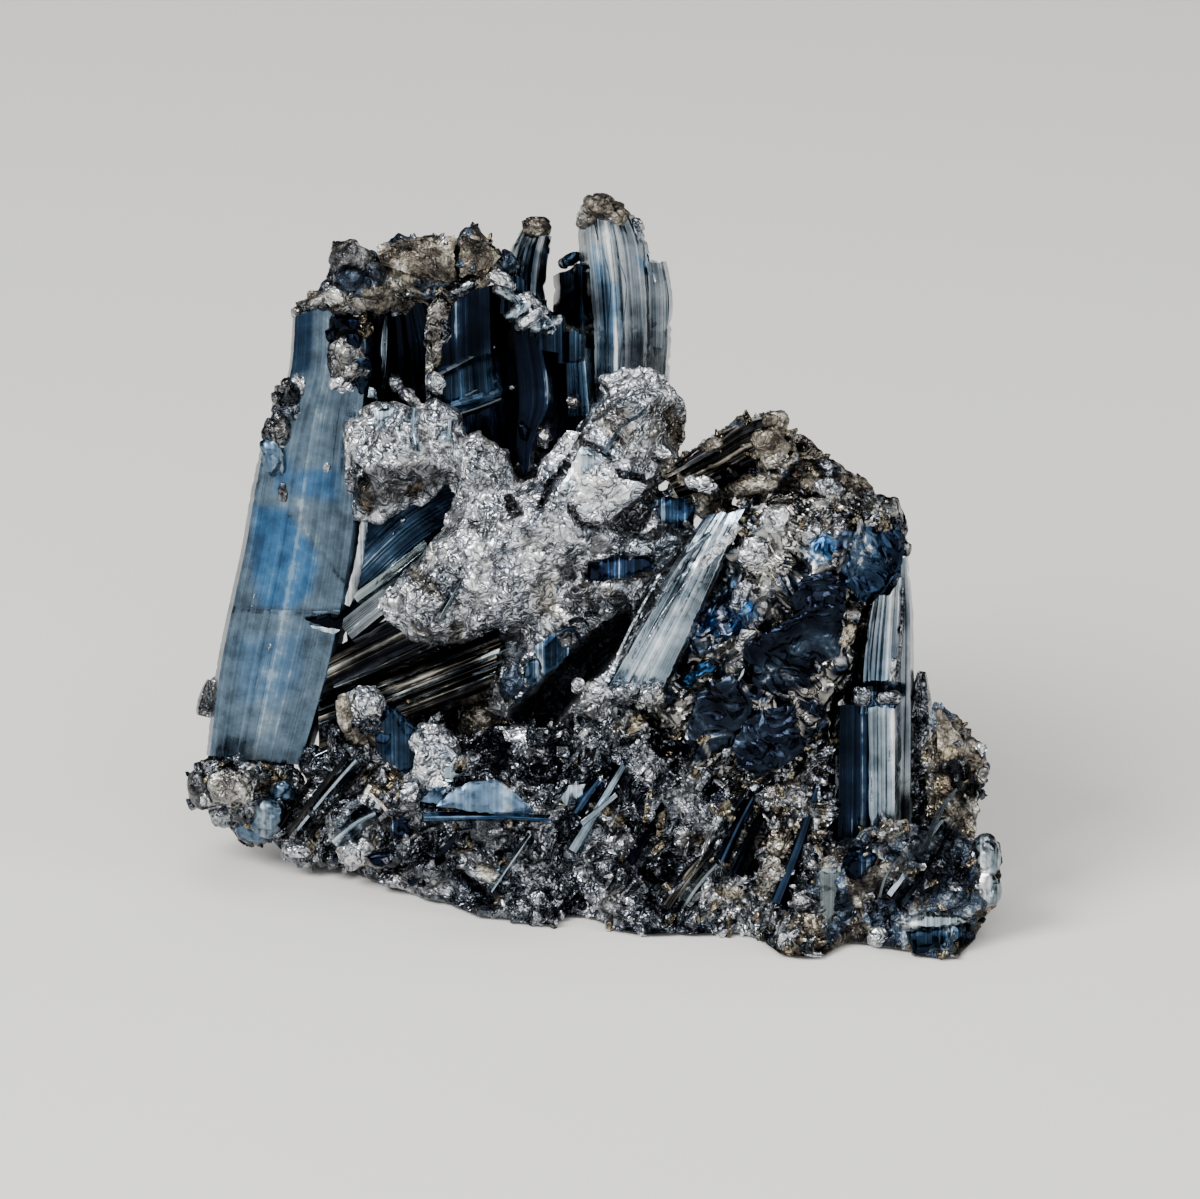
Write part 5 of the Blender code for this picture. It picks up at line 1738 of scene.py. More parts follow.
@dataclass(frozen=True)
class BrightCore(Piece):
    """The crumpled silver mass in the middle, with its arms and its hollows darkened as painted shade."""

    name: str = "bright_core_crumpled"
    nodes: tuple[str, ...] = ("bright_core",)
    slot: str = "bright_silver"
    finishes: Finishes = (BRIGHT_CRUMPLE, PALE_STEEL, DARK_MIRROR, DARK_LINED, CRUST_TAN)
    mass: CrumpledMass | None = CrumpledMass("bright_core", 0.21, (FacetField(4, 0.3, 0.35, 41, 0.35,
        0.15), FacetField(1.7, 0.26, 0.12, 42, 0.35, 0.03, 1.6, 70), FacetField(0.8, 0.14, 0.02, 43,
        0.35)), 0.35, 0.03)
    stains: Stains = (
        Stain("-208 411 -182 417 -134 420 -119 408 -158 389 -187 378 -203 392", 0.25, 0.5),
        Stain("-134 416 -115 413 -120 399 -134 397", 0.3),
        # The next stains darken creases and hollows, most of them also set back: painted shade.
        Stain("-41 379 -30 404 -17 426 -21 429 -34 408 -44 382", 0.12, 0.15, 0.8),
        Stain("-77 390 -67 393 -56 375 -65 375", 0.1, 0.15, 0.9),
        Stain("-17 386 -7 371 11 365 9 362 -10 366 -19 379", 0.1, 0.12, 0.5),
        Stain("-28 332 -13 331 -13 320 -21 320", 0.1, 0.2, 0.7),
        Stain("-8 441 5 435 22 422 18 421 3 429 -7 436", 0.15, 0.12, 0.4),
        Stain("22 414 35 410 46 410 44 404 27 402", 0.15, 0.15, 0.5),
        Stain("51 424 68 421 59 418", 0.2, 0.12, 0.3),
        Stain("19 364 22 377 49 394 75 396 92 379 86 362 49 352", 0.16, push=0.4),
        Stain("-5 320 -2 334 27 343 56 342 57 329 33 319", 0.16, 0.25, 0.4),
        Stain("-28 303 -13 314 35 310 33 299 -17 290", 0.2, 0.25, 0.3),
        Stain("-48 268 -30 281 11 279 -13 264 -39 237", 0.2, 0.25),
        Stain("-47 226 -34 242 -13 264 34 298 35 279 18 253 -4 231 -30 198 -72 196 -67 213", 0, push=2.2),
        Stain("-157 334 -133 323 -120 307 -128 301 -150 316", tint=0.8),
        Stain("0 465 40 465 33 432 18 436", None, 0.6, 0, 0.7),
        Stain("57 469 86 454 75 428 66 441", 0.7, 0.4, 0, 0.9),
        Stain("-45 325 -26 323 -30 296 -43 285 -48 307", 0.8, tint=0.4),
        Stain("-166 290 -157 290 -126 277 -124 266 -150 275", 0.5),
        Stain("-118 283 -109 283 -109 270 -120 270", 0.4, 0.2, 0, 0.7),
        # The next two darken set-back creases: painted shade.
        Stain("-135 285 -113 320 -107 323 -126 283", 0.3, 0.12, 0.3),
        Stain("-104 373 -89 369 -91 358 -102 364", 0.25, 0.15, 0.3),)
    seated: Seated = (
        Plate("-7 410 22 407 49 401 38 388 16 371 -7 373 -16 397", 0.35, (0.12, -0.3), 2.5, 0, 50, 0.6,
            0.3, 0, 1, 0.25),
        Plate("-27 395 -7 433 5 429 18 420 -4 412 -17 398", 0.5, (0.25, 0.1), 2.5, 1, 51, 0.4, 0.15, 0, 1,
            0.25),
        Plate("-39 421 -19 447 -8 445 -17 430 -30 410 -43 401", 0.3, (-0.35, 0.1), 2, 0, 52, 0.4, 0.25, 0,
            1, 0.25),
        Plate("-182 463 -164 470 -158 466 -171 451 -181 447", 0.3, (0.2, 0.3), 1.6, 1, 53, wave=0.1),
        Bar("-160 468 -165 451 -158 430", 0.9, 0.3, 1.8, 0, 54, 1, 0.9),
        Bar("-149 466 -150 449 -146 428", 0.8, 0.3, 1.8, 1, 55, 1, 0.9),
        Bar("-132 461 -134 442 -137 428", 0.7, 0.3, 1.6, 0, 56, 1, 0.9),
        Bar("-120 456 -120 437", 0.9, 0.3, 1.6, 1, 57, 1, 0.9),
        Plate("51 382 62 391 77 394 91 378 81 364 57 366", 0.3, (0.3, -0.2), 1.6, 2, 58, 0.5, 0.3, 0.25),
        Bar("-10 316 29 319", 0.4, 0.5, 1.4, 0, 59, 0.9, 0.9, 0.9),
        Bar("0 305 31 305", 0.3, 0.4, 1.2, 0, 60, tint=0.9),
        Plate("-2 334 27 341 49 341 55 331 27 322 -2 319", 0.3, (0, 0.4), 1.6, 2, 61, wave=0.15),
        Bar("5 334 20 320", 0.16, seed=77, tone=0.8), Bar("18 337 33 323", 0.12, seed=78, tone=0.8),
        Bar("33 339 49 328", 0.16, seed=79, tone=0.7),
        Bar("-27 276 -17 279 -5 265", 0.55, 0.4, 1.6, 3, 62, 1, 0.9, 0.3),
        Bar("-18 284 -8 287 5 272", 0.6, 0.5, 1.6, 3, 63, 1, 0.9, 0.3),
        Bar("-4 291 5 292 17 280", 0.6, 0.5, 1.6, 3, 64, 1, 0.9, 0.3),
        Bar("-33 281 -26 269", 0.22, 0.9, seed=65), Bar("5 293 16 281", 0.18, 1, seed=66),
        Plate("-48 264 -30 276 -14 264 -28 246 -39 240", 0.4, (0.2, 0.2), 1.6, 2, 67, 0.25, 0.1, 0.5),
        Knob("-62 254 11.4 15.3 10", (0.8, 0.4, 0.15, 68), 4, 0.2, 0.8, 20, 0.7),
        Knob("-63 231 13.6 15.7 11", (0.8, 0.4, 0.15, 69), 4, 0.3, 0.8, 0, 1),
        Knob("-48 242 8.7 10.9 9", (0.9, 0.35, 0.12, 70), 2, 0.2, 0.8, 0, 0.5),
        Bar("-137 327 -124 307", 0.35, 0.4, 1.2, 0, 71),
        Bar("-128 288 -109 320", 0.35, 0.4, seed=72, tint=0.2),
        Bar("11 428 27 449 49 465", 0.5, 0.3, 1.4, 1, 73),
        Bar("27 423 40 447 53 460", 0.4, 0.3, 1.4, 0, 74, tint=0.4),
        Bar("-10 445 0 460 5 471", 0.5, 0.3, 1.4, 1, 75),
        Bar("14 452 22 467", 0.5, 0.3, 1.4, 0, 76, tint=0.6),)


@dataclass(frozen=True)
class WedgeBlade(Piece):
    """The dark triangular blade between the left blade and the core."""

    name: str = "wedge_crystal"
    nodes: tuple[str, ...] = ("wedge_blade",)
    slot: str = "dark_navy"
    finishes: Finishes = (DARK_MIRROR, PALE_STEEL, COLUMN_GREY)
    prisms: Prisms = (
        Prism("-216 386 -208 259 205 -162 440 -151 310 205 -98 460 -102 354 205", 5, 0.8, 0.03, 1,
            0, 45, 0.3, ((0, 0.35), (1, 0.25)), crest=(0.7, 1.2)),)
    stains: Stains = (Stain("-185 326 -130 360 -128 358 -185 322", 0.3, 0.15),)
    seated: Seated = (
        Bar("-201 304 -171 326 -138 352", 1.42, 0.4, 2, 1, 46, 1, 0.8, 1, 0.35),
        Bar("-210 277 -185 297 -152 321", 2.6, 0.7, 2.4, 2, 47, 0.55, 0.9, 0, 0.6),
        Bar("-179 328 -152 347 -133 359", 0.22, 0.2, 0.8, 2, 48, 0.7, tint=1),
        Knob("-160 372 1.6 1.6 2", finish=1, sunk=0.05, square=1, detail=3),
        Knob("-168 360 1.2 1.2 2", finish=1, sunk=0.05, square=1, detail=3),)


@dataclass(frozen=True)
class StriatedBundle(Piece):
    """The diagonal bundle of dark prisms with bright lines under the core."""

    name: str = "striated_bundle_crystals"
    nodes: tuple[str, ...] = ("striated_bundle",)
    slot: str = "column_grey"
    finishes: Finishes = (DARK_LINED, PALE_STEEL, COLUMN_GREY, BRIGHT_CRUMPLE)
    prisms: Prisms = (
        Prism("-233 220 -233 166 175 -65 287 -76 224 140", 6, 0.34, 0.24, 1.4, 0, 51, 0.35),
        Prism("-228 258 -231 208 190 -128 312 -128 252 180", 5.5, 0.5, 0.08, 1, 0, 52, tone=0.6),)
    stains: Stains = (Stain("-215 252 -179 269 -152 269 -179 252 -215 236", 0.25),)
    seated: Seated = (
        Bar("-220 229 -174 247 -127 267", 0.42, 0.4, 1.6, 2, 53, 1, 0.9),
        Bar("-174 232 -124 251 -72 271", 0.26, 0.45, 1.6, 1, 54, 1, 0.9),
        Bar("-168 226 -116 247 -70 267", 0.5, 0.25, 1.6, 0, 55, 0.7, 0.9),
        Bar("-169 217 -116 240 -67 263", 0.3, 0.45, 1.6, 1, 56, 1, 0.9),
        Bar("-166 212 -116 233 -74 252", 0.2, 0.4, 1.4, 1, 57, 1, 0.9),
        Bar("-153 211 -113 226 -79 243", 0.16, 0.4, 1.4, 1, 58, 1, 0.9),
        Bar("-146 206 -113 219 -87 229", 0.26, 0.4, 1.4, 1, 59, 1, 0.9),
        Bar("-228 209 -212 217", 0.2, 0.4, 1.4, 1, 60, 1, 0.9),
        Bar("-231 198 -212 206", 0.26, 0.4, 1.4, 1, 61, 0.8, 0.9),
        Bar("-236 170 -212 181", 0.2, 0.4, 1.4, 1, 62, 0.8, 0.9),
        Bar("-217 231 -195 236", 0.3, 0.5, 1.4, 1, 63, 1, 0.9),
        Knob("-155 217 3 2.2 4", square=1, turn=20, tint=1, detail=3),)


@dataclass(frozen=True)
class RidgeCrystal(Piece):
    """The dark striated ridge and the tan crest on the right."""

    name: str = "ridge_crest_crystal"
    nodes: tuple[str, ...] = ("ridge_crystal",)
    slot: str = "weathered_tan"
    finishes: Finishes = (CRUST_TAN, DARK_LINED, GRAIN_GREY, BRIGHT_CRUMPLE)
    prisms: Prisms = (
        Prism("62 412 76 388 117 96 434 112 395 112 132 456 149 412 108 153 463 180 421 106", 7.6,
            0.24, 0.14, 1, 1, 55),)
    mass: CrumpledMass | None = CrumpledMass("ridge_crystal", 0.2, (FacetField(2.4, 0.4, 0.25, 56),
        FacetField(0.9, 0.35, 0.1, 57), FacetField(0.45, 0.3, 0.03, 58)), 0.5, 0.12, sunk=0.1)
    # Its one stain is a thin set-back crease darkened as painted shade.
    stains: Stains = (Stain("102 413 162 416 163 412 104 409", 0.1, 0.12, 0.5),)
    seated: Seated = (
        Knob("155 453 11.6 9.5 12", (1, 0.4, 0.15, 59), 0, 0.4),
        Knob("151 436 17 11.6 12", (1, 0.4, 0.15, 60), 0, 0.4, turn=-25),
        Knob("182 429 17 10.2 12", (1, 0.4, 0.15, 61), 2, 0.4, 0.85, -40, 0.6),
        Knob("155 422 11.6 6.8 8", (0.7, 0.4, 0.12, 62), 3, 0.1, 0.85, 20, 0.7),
        Knob("94 402 15 7.5 9", (0.8, 0.4, 0.15, 63), 3, 0.2, turn=-10),
        Knob("141 402 20.4 8.8 10", (0.8, 0.4, 0.15, 64), 0, 0.3, turn=5),
        Knob("202 414 17 8.8 12", (0.9, 0.4, 0.15, 65), 2, 0.4, turn=-35),
        Knob("226 397 17.7 9.5 12", (0.9, 0.4, 0.15, 66), 0, 0.4, turn=-35),
        Bar("70 417 107 441 141 458", 0.3, 0.2, 1, 0, 67, 0.8),
        Bar("77 411 114 433 146 450", 0.25, 0.2, 1, 0, 68, 0.7),)
    grains: Grains = (
        GrainField((7, 35, 27, 47), 200, (0.4, 0.9), (0.5, 0.9), 70, 50, 0.4, False, 5, (0.4, 1), 0.6, 2,
            69),)


@dataclass(frozen=True)
class PaleBlade(Piece):
    """The pale diagonal striated blade with its bright pointed tip."""

    name: str = "pale_blade_crystal"
    nodes: tuple[str, ...] = ("pale_blade",)
    slot: str = "column_grey"
    finishes: Finishes = (PALE_STEEL, BRIGHT_CRUMPLE, COLUMN_GREY, GRAIN_GREY)
    prisms: Prisms = (
        Prism("7 224 65 224 85 51 298 97 297 85 88 361 129 371 95 105 386 136 386 100", 6, 0.35,
            0.12, 1.2, 0, 61, 0.3),)
    stains: Stains = (
        Stain("51 229 77 273 104 327 111 324 83 266 60 227", 0.6, 0.2),
        # A thin set-back crease darkened as painted shade.
        Stain("66 314 71 327 95 348 94 341", 0.3, 0.12, 0.15),)
    seated: Seated = (
        Plate("92 337 111 356 124 369 129 365 118 351 104 337 96 329", 0.4, (0.2, -0.2), 1.4, 1, 62, 0.15,
            0.03),
        Bar("65 310 81 337 104 360", 1.56, 0.25, 2, 2, 63, 1, 0.6),
        Bar("26 230 49 283 71 324", 0.22, 0.2, 1, 1, 64), Bar("32 230 60 290 94 334", 0.2, 0.2, 1, 1, 65),
        Bar("41 229 70 283 100 331", 0.14, 0.2, 1, 1, 66),
        Bar("12 231 36 283 60 327", 0.2, 0.15, 1, 1, 67, 0.9),
        Knob("7 225 14.3 8.8 13", (0.9, 0.35, 0.12, 70), 1, 0.6, 1, -10, 0, 8.4),
        Knob("29 224 17 9.5 13", (0.9, 0.35, 0.12, 71), 3, 0.6, 1, depth=8.2),
        Knob("49 223 13.6 10.2 13", (0.9, 0.35, 0.12, 68), 1, 0.6, 1, 10, 0.5, 8.3),
        Knob("20 223 15.6 5.4 8", (0.7, 0.35, 0.1, 69), 3, 0.2),)


@dataclass(frozen=True)
class RightBlock(Piece):
    """The broad dark navy faces with rough pale edges and a vividly blue pocket."""

    name: str = "right_block_crystal"
    nodes: tuple[str, ...] = ("right_block",)
    slot: str = "dark_navy"
    finishes: Finishes = (SILVER_BROWN, DARK_BREAK, GRAIN_GREY, BRIGHT_CRUMPLE, PALE_STEEL)
    mass: CrumpledMass | None = CrumpledMass("right_block", 0.22, (FacetField(4.6, 0.4, 0.4, 66, 0.35,
        0.1), FacetField(2.2, 0.3, 0.12, 67, 0.5)), 0.4, 0, 3, 1)
    stains: Stains = (
        Stain("82 261 94 283 109 310 124 334 129 314 143 290 122 275 94 256", None, 0.25, 0.5, 1),
        Stain("81 256 94 283 104 290 100 269", tint=1),
        Stain("128 361 148 392 182 388 196 361 168 331 145 300 131 324", 0.4, 0.8, 0, 0.3),
        Stain("146 392 202 400 264 382 257 371 202 382 155 375", 0.45, 0.4),)
    seated: Seated = (
        Plate("137 265 168 283 192 300 209 283 213 256 196 235 172 221 145 235 136 249", 0.6, (0.1, -0.2),
            2.5, 1, 70, 0.5, 0.35, swell=1.18),
        Plate("171 303 182 320 199 324 213 314 211 290 196 286 177 288", 0.6, (-0.2, 0.1), 2, 1, 71, 0.4,
            0.3, swell=1.18),
        Plate("214 324 218 354 236 377 255 371 264 354 260 327 245 310 230 305", 0.7, (0.25, 0.2), 2.5, 1,
            72, 0.6, 0.4, 0.07, swell=1.1),
        Plate("83 186 94 220 119 235 134 214 124 184 104 177", 0.6, (-0.2, -0.15), 2.2, 1, 73, 0.5, 0.3,
            swell=1.18),
        Plate("125 181 138 208 182 213 198 228 196 198 172 171 145 157 129 167", 0.6, (0.15, 0.25), 2.2,
            1, 74, 0.4, 0.3, swell=1.12),
        Plate("196 331 182 344 196 361 214 358 212 331", 0.25, (0.1, 0.4), 1.8, 1, 75, 0.4, 0.3, 0.3),
        Plate("77 235 94 251 111 256 104 239 83 230", 0.3, (0.1, 0.4), 1.6, 1, 76, 0.25, 0.2, 0.5),
        Plate("128 279 145 276 142 269 133 252 123 263", 0.5, (0.2, -0.4), 1.6, 3, 77, 0.12, 0.02),
        Plate("141 273 145 276 128 239 125 235", 0.4, (0.5, 0), 1.4, 4, 78, 0.1, 0.02),
        Bar("112 210 122 229 130 244", 0.3, 0.5, 1.4, 4, 79),
        Bar("121 212 128 229", 0.18, 0.5, 1.4, 4, 80, 0.8),
        Bar("241 295 255 314 264 335", 0.55, 0.6, 1.6, 3, 81, 1, 0.7),
        Bar("226 337 235 358", 0.4, 0.6, 1, 4, 82, 0.7), Bar("252 331 260 348", 0.5, 0.7, 1.2, 4, 83, 0.7),
        Knob("187 361 8.8 6.8 7", (0.7, 0.4, 0.1, 84), 3, 0.1, 0.8, 20),
        Knob("128 307 7.5 13.6 8", (0.7, 0.4, 0.12, 85), 3, 0.1, 0.8, -25),
        Knob("138 344 11.6 13.6 8", (0.8, 0.4, 0.15, 86), 3, 0.2, 0.8, -25),
        Knob("155 371 13.6 11.6 8", (0.8, 0.4, 0.15, 87), 3, 0.2, 0.8, 10),
        Knob("216 273 7.5 14.3 10", (0.5, 0.35, 0.1, 88), 2, 0.2, 0.85, -30, 0.9),
        Knob("230 283 8.2 8.2 9", (0.6, 0.35, 0.1, 89), 2, 0.2, tint=0.5),
        Knob("206 334 4.1 4.8 5", (0.9, 0.3, 0.1, 5), 2, 0.1, 1, 0, 0.4),
        Knob("162 388 15.6 5.4 8", (0.7, 0.4, 0.12, 90), 2, 0.2, 0.85, 20, 0.5),
        Knob("202 397 13.6 8.2 10", (0.8, 0.4, 0.15, 91), 2, 0.2, turn=-20),
        Knob("226 385 13.6 7.5 10", (0.8, 0.4, 0.15, 92), 2, 0.3, 0.85, -30, 0.3),
        Knob("248 383 12.2 7.5 10", (0.8, 0.4, 0.15, 93), 0, 0.3, turn=-40),
        Knob("260 365 6.1 11.6 10", (0.8, 0.4, 0.15, 94), 0, 0.3, turn=10),
        Bar("141 239 158 225 182 220", 0.25, 0.5, 1, 0, 95),
        Bar("196 303 182 286 145 269", 0.28, 0.6, 1, 2, 96, tint=0.3),
        Bar("128 195 134 208 136 218", 0.25, 0.5, 1, 2, 97),
        Bar("94 222 121 239 138 246", 0.25, 0.5, 1, 0, 98),
        Bar("212 256 214 283 196 303", 0.2, 0.5, 1, 0, 99),)
    grains: Grains = (
        GrainField((4, 12, 27, 19), 300, (0.5, 1.1), (0.5, 1), 60, 40, 0.4, True, 5, (0.5, 1), 0.2, 2, 68),
        GrainField((11, 36, 27, 40), 160, (0.4, 0.9), (0.5, 0.9), 60, 60, 0.4, True, 5, (0.5, 1), 0.3, 2,
            69),)


@dataclass(frozen=True)
class RightColumns(Piece):
    """The upright striated columns at the right, white-lined and dark by turns."""

    name: str = "right_column_crystals"
    nodes: tuple[str, ...] = ("right_columns",)
    slot: str = "column_grey"
    finishes: Finishes = (COLUMN_GREY, PALE_STEEL, DARK_MIRROR, BRIGHT_CRUMPLE, GRAIN_GREY)
    prisms: Prisms = (
        Prism("195 60 285 60 125 215 220 280 200 130 218 300 266 300 140", 8, 0.5, 0.1, 0.6, 2,
            70, 0.6, tone=0.5),
        Prism("240 84 279 83 100 250 218 276 225 100 252 293 274 293 100 256 336 269 349 105", 8,
            0.4, 0.08, seed=71, tone=0.85),
        Prism("225 207 261 209 68.5 230 269 263 278 70 236 303 264 327 75", 6, 0.3, 0.14, 1, 0,
            72, tints=((0, 1), (0.5, 0.4), (1, 0))),
        Prism("236 98 264 98 60 235 159 264 161 60 234 216 263 219 62", 6, 0.35, 0.14, 0.7, 1, 73),
        Prism("205 92 241 90 71.5 207 218 239 227 76", 6, 0.6, 0.05, 0.8, 2, 74, tints=((0, 0),
            (1, 0.1))),
        Prism("266 93 298 93 105 269 208 291 214 105 280 245 286 243 108", 4.5, 0.35, 0.1, 0.3, 4,
            75, tone=0.7),)
    stains: Stains = (
        # A thin set-back break across the column, darkened as painted shade.
        Stain("226 233 243 234 264 230 264 224 243 225 226 228", 0.12, 0.12, 0.4),
        Stain("243 208 252 208 252 120 245 120", 0.7, 0.2),
        Stain("235 215 243 215 241 167 236 167", 0.5, 0.2),
        Stain("252 317 257 317 264 201 258 201", 0.5, 0.2),)
    seated: Seated = (
        Bar("237 235 237 283", 0.7, 0.3, 1.6, 1, 76), Bar("245 235 247 263", 0.35, 0.3, 1.6, 3, 77),
        Bar("239 133 240 215", 0.4, 0.3, 1.6, 3, 78, 1, 0.9),
        Bar("253 167 252 215", 0.5, 0.3, 1.6, 3, 79, 1, 0.9),
        Bar("255 116 255 174", 0.4, 0.25, 1.6, 1, 80, 1, 0.9),
        Bar("214 123 216 181 219 208", 0.22, 0.25, 1, 1, 81, 0.8),
        Bar("209 123 209 174", 0.16, 0.25, 1, 0, 82), Bar("260 235 264 283 265 324", 0.4, 0.3, 1.4, 4, 83),
        Bar("255 235 257 256", 0.5, 0.4, 1.4, 3, 84, 0.85),
        Knob("230 222 8.2 8.2 8", (0.7, 0.25, 0.08, 85), 4, 0, 0.75, -10),
        Knob("252 221 11.6 6.1 8", (0.7, 0.25, 0.08, 86), 4, 0, 0.75, 5),
        Knob("226 279 5.4 7.5 8", finish=4, square=0.8, tint=0.2),
        Knob("219 242 4.8 11.6 8", (0.5, 0.35, 0.08, 87), turn=-30),
        Knob("212 234 4.1 7.5 7", finish=4, turn=-30, tint=0.2), Knob("200 204 6.8 6.8 8", square=0.75),
        Knob("198 191 7.5 11.6 9", finish=4, turn=-20), Knob("180 188 4.8 15 8", finish=4, turn=-35),
        Knob("172 174 4.8 11.6 8", finish=1, turn=-35), Knob("187 166 5.4 6.8 7", finish=4),
        Knob("173 147 6.1 6.8 7", finish=4, tint=0.1), Knob("187 139 6.1 7.5 7", finish=4),
        Bar("204 167 212 208", 0.3, 0.3, 1.2, 4, 88),
        Bar("281 167 280 208 282 239", 0.5, 0.3, 1.2, 4, 89, 1, 0.4),
        Bar("287 174 285 215", 0.25, 0.3, 1.2, 0, 90, 1, 0.4),)


@dataclass(frozen=True)
class CornerCrystals(Piece):
    """The corner crystal, the round knob and the crossed blades low on the right."""

    name: str = "corner_crystals_rough"
    nodes: tuple[str, ...] = ("corner_crystals",)
    slot: str = "grain_grey"
    finishes: Finishes = (CRUST_TAN, DARK_MIRROR, GRAIN_GREY, PALE_STEEL, BRIGHT_CRUMPLE, COLUMN_GREY)
    mass: CrumpledMass | None = CrumpledMass("corner_crystals", 0.22, (FacetField(3.2, 0.35, 0.3, 81,
        0.35, 0.2), FacetField(1.2, 0.35, 0.12, 82, 0.35, 0.08), FacetField(0.5, 0.3, 0.03, 83)), 0.5, 0.4)
    stains: Stains = (
        # A deep set-back hole darkened almost black: painted shade.
        Stain("303 161 315 167 332 157 335 140 318 130 304 140", 0.08, push=0.8),
        Stain("260 113 298 120 325 99 311 55 257 45", 0.35, 0.6, 0, 1),
        Stain("219 72 250 86 250 48 226 48", 0.3, 0.5),
        Stain("202 130 250 113 257 93 209 93", 0.5, 0.5, 0, 1),
        Stain("182 72 212 79 226 38 209 14 182 4", tint=1),)
    seated: Seated = (
        Plate("292 212 296 213 316 184 335 164 325 167 308 171 294 178", 0.5, (0.3, 0.1), 2, 0, 84, 0.4,
            0.2),
        Knob("335 86 12.9 19.7 16", ((2.4, 0.15, 0.1, 85), (0.7, 0.15, 0.03, 86)), 3, 0.6, 0.9, 0, 0.35),
        Knob("336 58 11.6 15 14", (1.2, 0.25, 0.08, 87), 3, 0.5, 0.8, 0, 0.5),
        Knob("328 60 3 3 4", finish=4, sunk=-0.4, square=1, detail=3),
        Knob("338 59 4 3 5", finish=4, sunk=-0.4, square=1, detail=3),
        Knob("244 18 9.5 9.2 8", (0.6, 0.2, 0.05, 88), 4, 0.1, 1),
        Plate("196 75 213 79 226 55 226 35 212 14 192 4 186 21 193 45", 0.4, (0.25, 0.1), 2, 3, 89, 0.4,
            0.15, 0.9, 0.55),
        Bar("253 54 274 82 299 118", 0.5, 0.5, 1.8, 5, 90, 1, 0.6),
        Bar("264 48 287 79 308 113", 0.7, 0.4, 1.8, 1, 91, 1, 0.6, 0.4),
        Bar("245 52 250 69 264 89", 0.4, 0.4, 1.4, 5, 92, 0.7, 0.6),
        Bar("284 93 298 127 318 150", 0.5, 0.4, 1.6, 5, 93, 0.6, 0.6),
        Plate("264 31 287 40 311 37 318 31 298 25 274 25", 0.4, (0, 0.5), 1.4, 3, 95, tint=0.8, tone=0.75),
        Plate("267 23 308 28 318 21 298 8 274 4", 0.3, (0.2, 0.3), 1.4, 1, 96, tint=0.6),
        Knob("230 79 15.6 15 12", (1.2, 0.35, 0.12, 97), 1, 0.4),
        Knob("236 82 8.8 8.2 9", (0.8, 0.35, 0.1, 98), 0),
        Knob("303 173 8.2 6.8 8", (0.5, 0.4, 0.1, 99), 4, 0.1, 0.8, 20, 1),
        Knob("299 147 8.2 10.2 8", (0.5, 0.4, 0.1, 100), 2, 0.1, 0.8, 0, 1),
        Knob("294 123 10.2 8.8 8", (0.5, 0.4, 0.1, 101), 2, 0.1, 0.8, 0, 0.8),
        Knob("332 156 6.1 8.2 8", (0.6, 0.4, 0.1, 102), 4, 0, 0.8, 0, 0.6),
        Knob("245 103 8.8 6.8 8", finish=2, tint=0.4), Knob("253 77 7.5 7.5 8", finish=2, tint=0.6),
        Knob("236 45 4.8 6.8 7", finish=2),)
    grains: Grains = (
        GrainField((17, 0, 35, 22), 200, (0.4, 0.9), (0.5, 1), 60, 60, 0.4, True, 5, (0.3, 1), 0.4, 2, 83),)


@dataclass(frozen=True)
class FootKnobs(Piece):
    """The knobbly pale growth under the left blade."""

    name: str = "foot_knobs_rough"
    nodes: tuple[str, ...] = ("foot_knobs",)
    slot: str = "grain_grey"
    finishes: Finishes = (GRAIN_GREY, BLUE_FACE, BRIGHT_CRUMPLE, CRUST_TAN, DARK_MIRROR)
    mass: CrumpledMass | None = CrumpledMass("foot_knobs", 0.2, (FacetField(2.6, 0.3, 0.25, 85, 0.35,
        0.15), FacetField(1, 0.3, 0.08, 86, 0.35, 0.05), FacetField(0.45, 0.25, 0.03, 87)), 0.5, 0.1)
    stains: Stains = (
        Stain("-283 151 -267 149 -272 132 -286 129", 0.35),
        Stain("-308 116 -291 121 -294 105 -305 105", 0.4),)
    seated: Seated = (
        Knob("-308 144 19.1 15.9 16", ((1.6, 0.3, 0.15, 88), (0.6, 0.25, 0.04, 89)), 0, 0.5, 0.8, 10, 0.45),
        Knob("-277 116 14.8 16.4 15", ((1.4, 0.25, 0.12, 90), (0.5, 0.2, 0.03, 91)), 1, 0.4, 0.75, -15),
        Knob("-337 140 9.8 16.9 15", (1.2, 0.3, 0.12, 92), 3, 0.4, 0.85, 10, 0.5),
        Knob("-332 132 5.5 6 7", (0.6, 0.3, 0.08, 93), 2),
        Knob("-292 103 13.7 9.3 12", (1, 0.3, 0.1, 94), 1, 0.4, 0.85, -15, 0.2),
        Knob("-318 116 10.9 8.2 12", (1, 0.3, 0.1, 95), 0, 0.4, turn=-30),
        Knob("-264 138 10.9 9.3 11", (1, 0.3, 0.1, 96), 1, 0.3, 0.8, 0, 0.3),
        Knob("-258 116 7.1 9.3 9", (0.7, 0.35, 0.1, 97), 0, 0.2, 0.85, 20, 0.3),
        Plate("-284 123 -277 127 -272 118 -279 114", 0.9, (0.1, 0.2), 0.8, 2, 98, tone=0.8),
        Knob("-323 159 9.3 6.6 9", (0.7, 0.35, 0.1, 99), 0, 0.2),)
    grains: Grains = (
        GrainField((-35, 7, -24, 19), 110, (0.4, 0.9), (0.5, 0.9), 60, 60, 0.4, True, 5, (0.5, 1), 0.2, 0,
            87),)


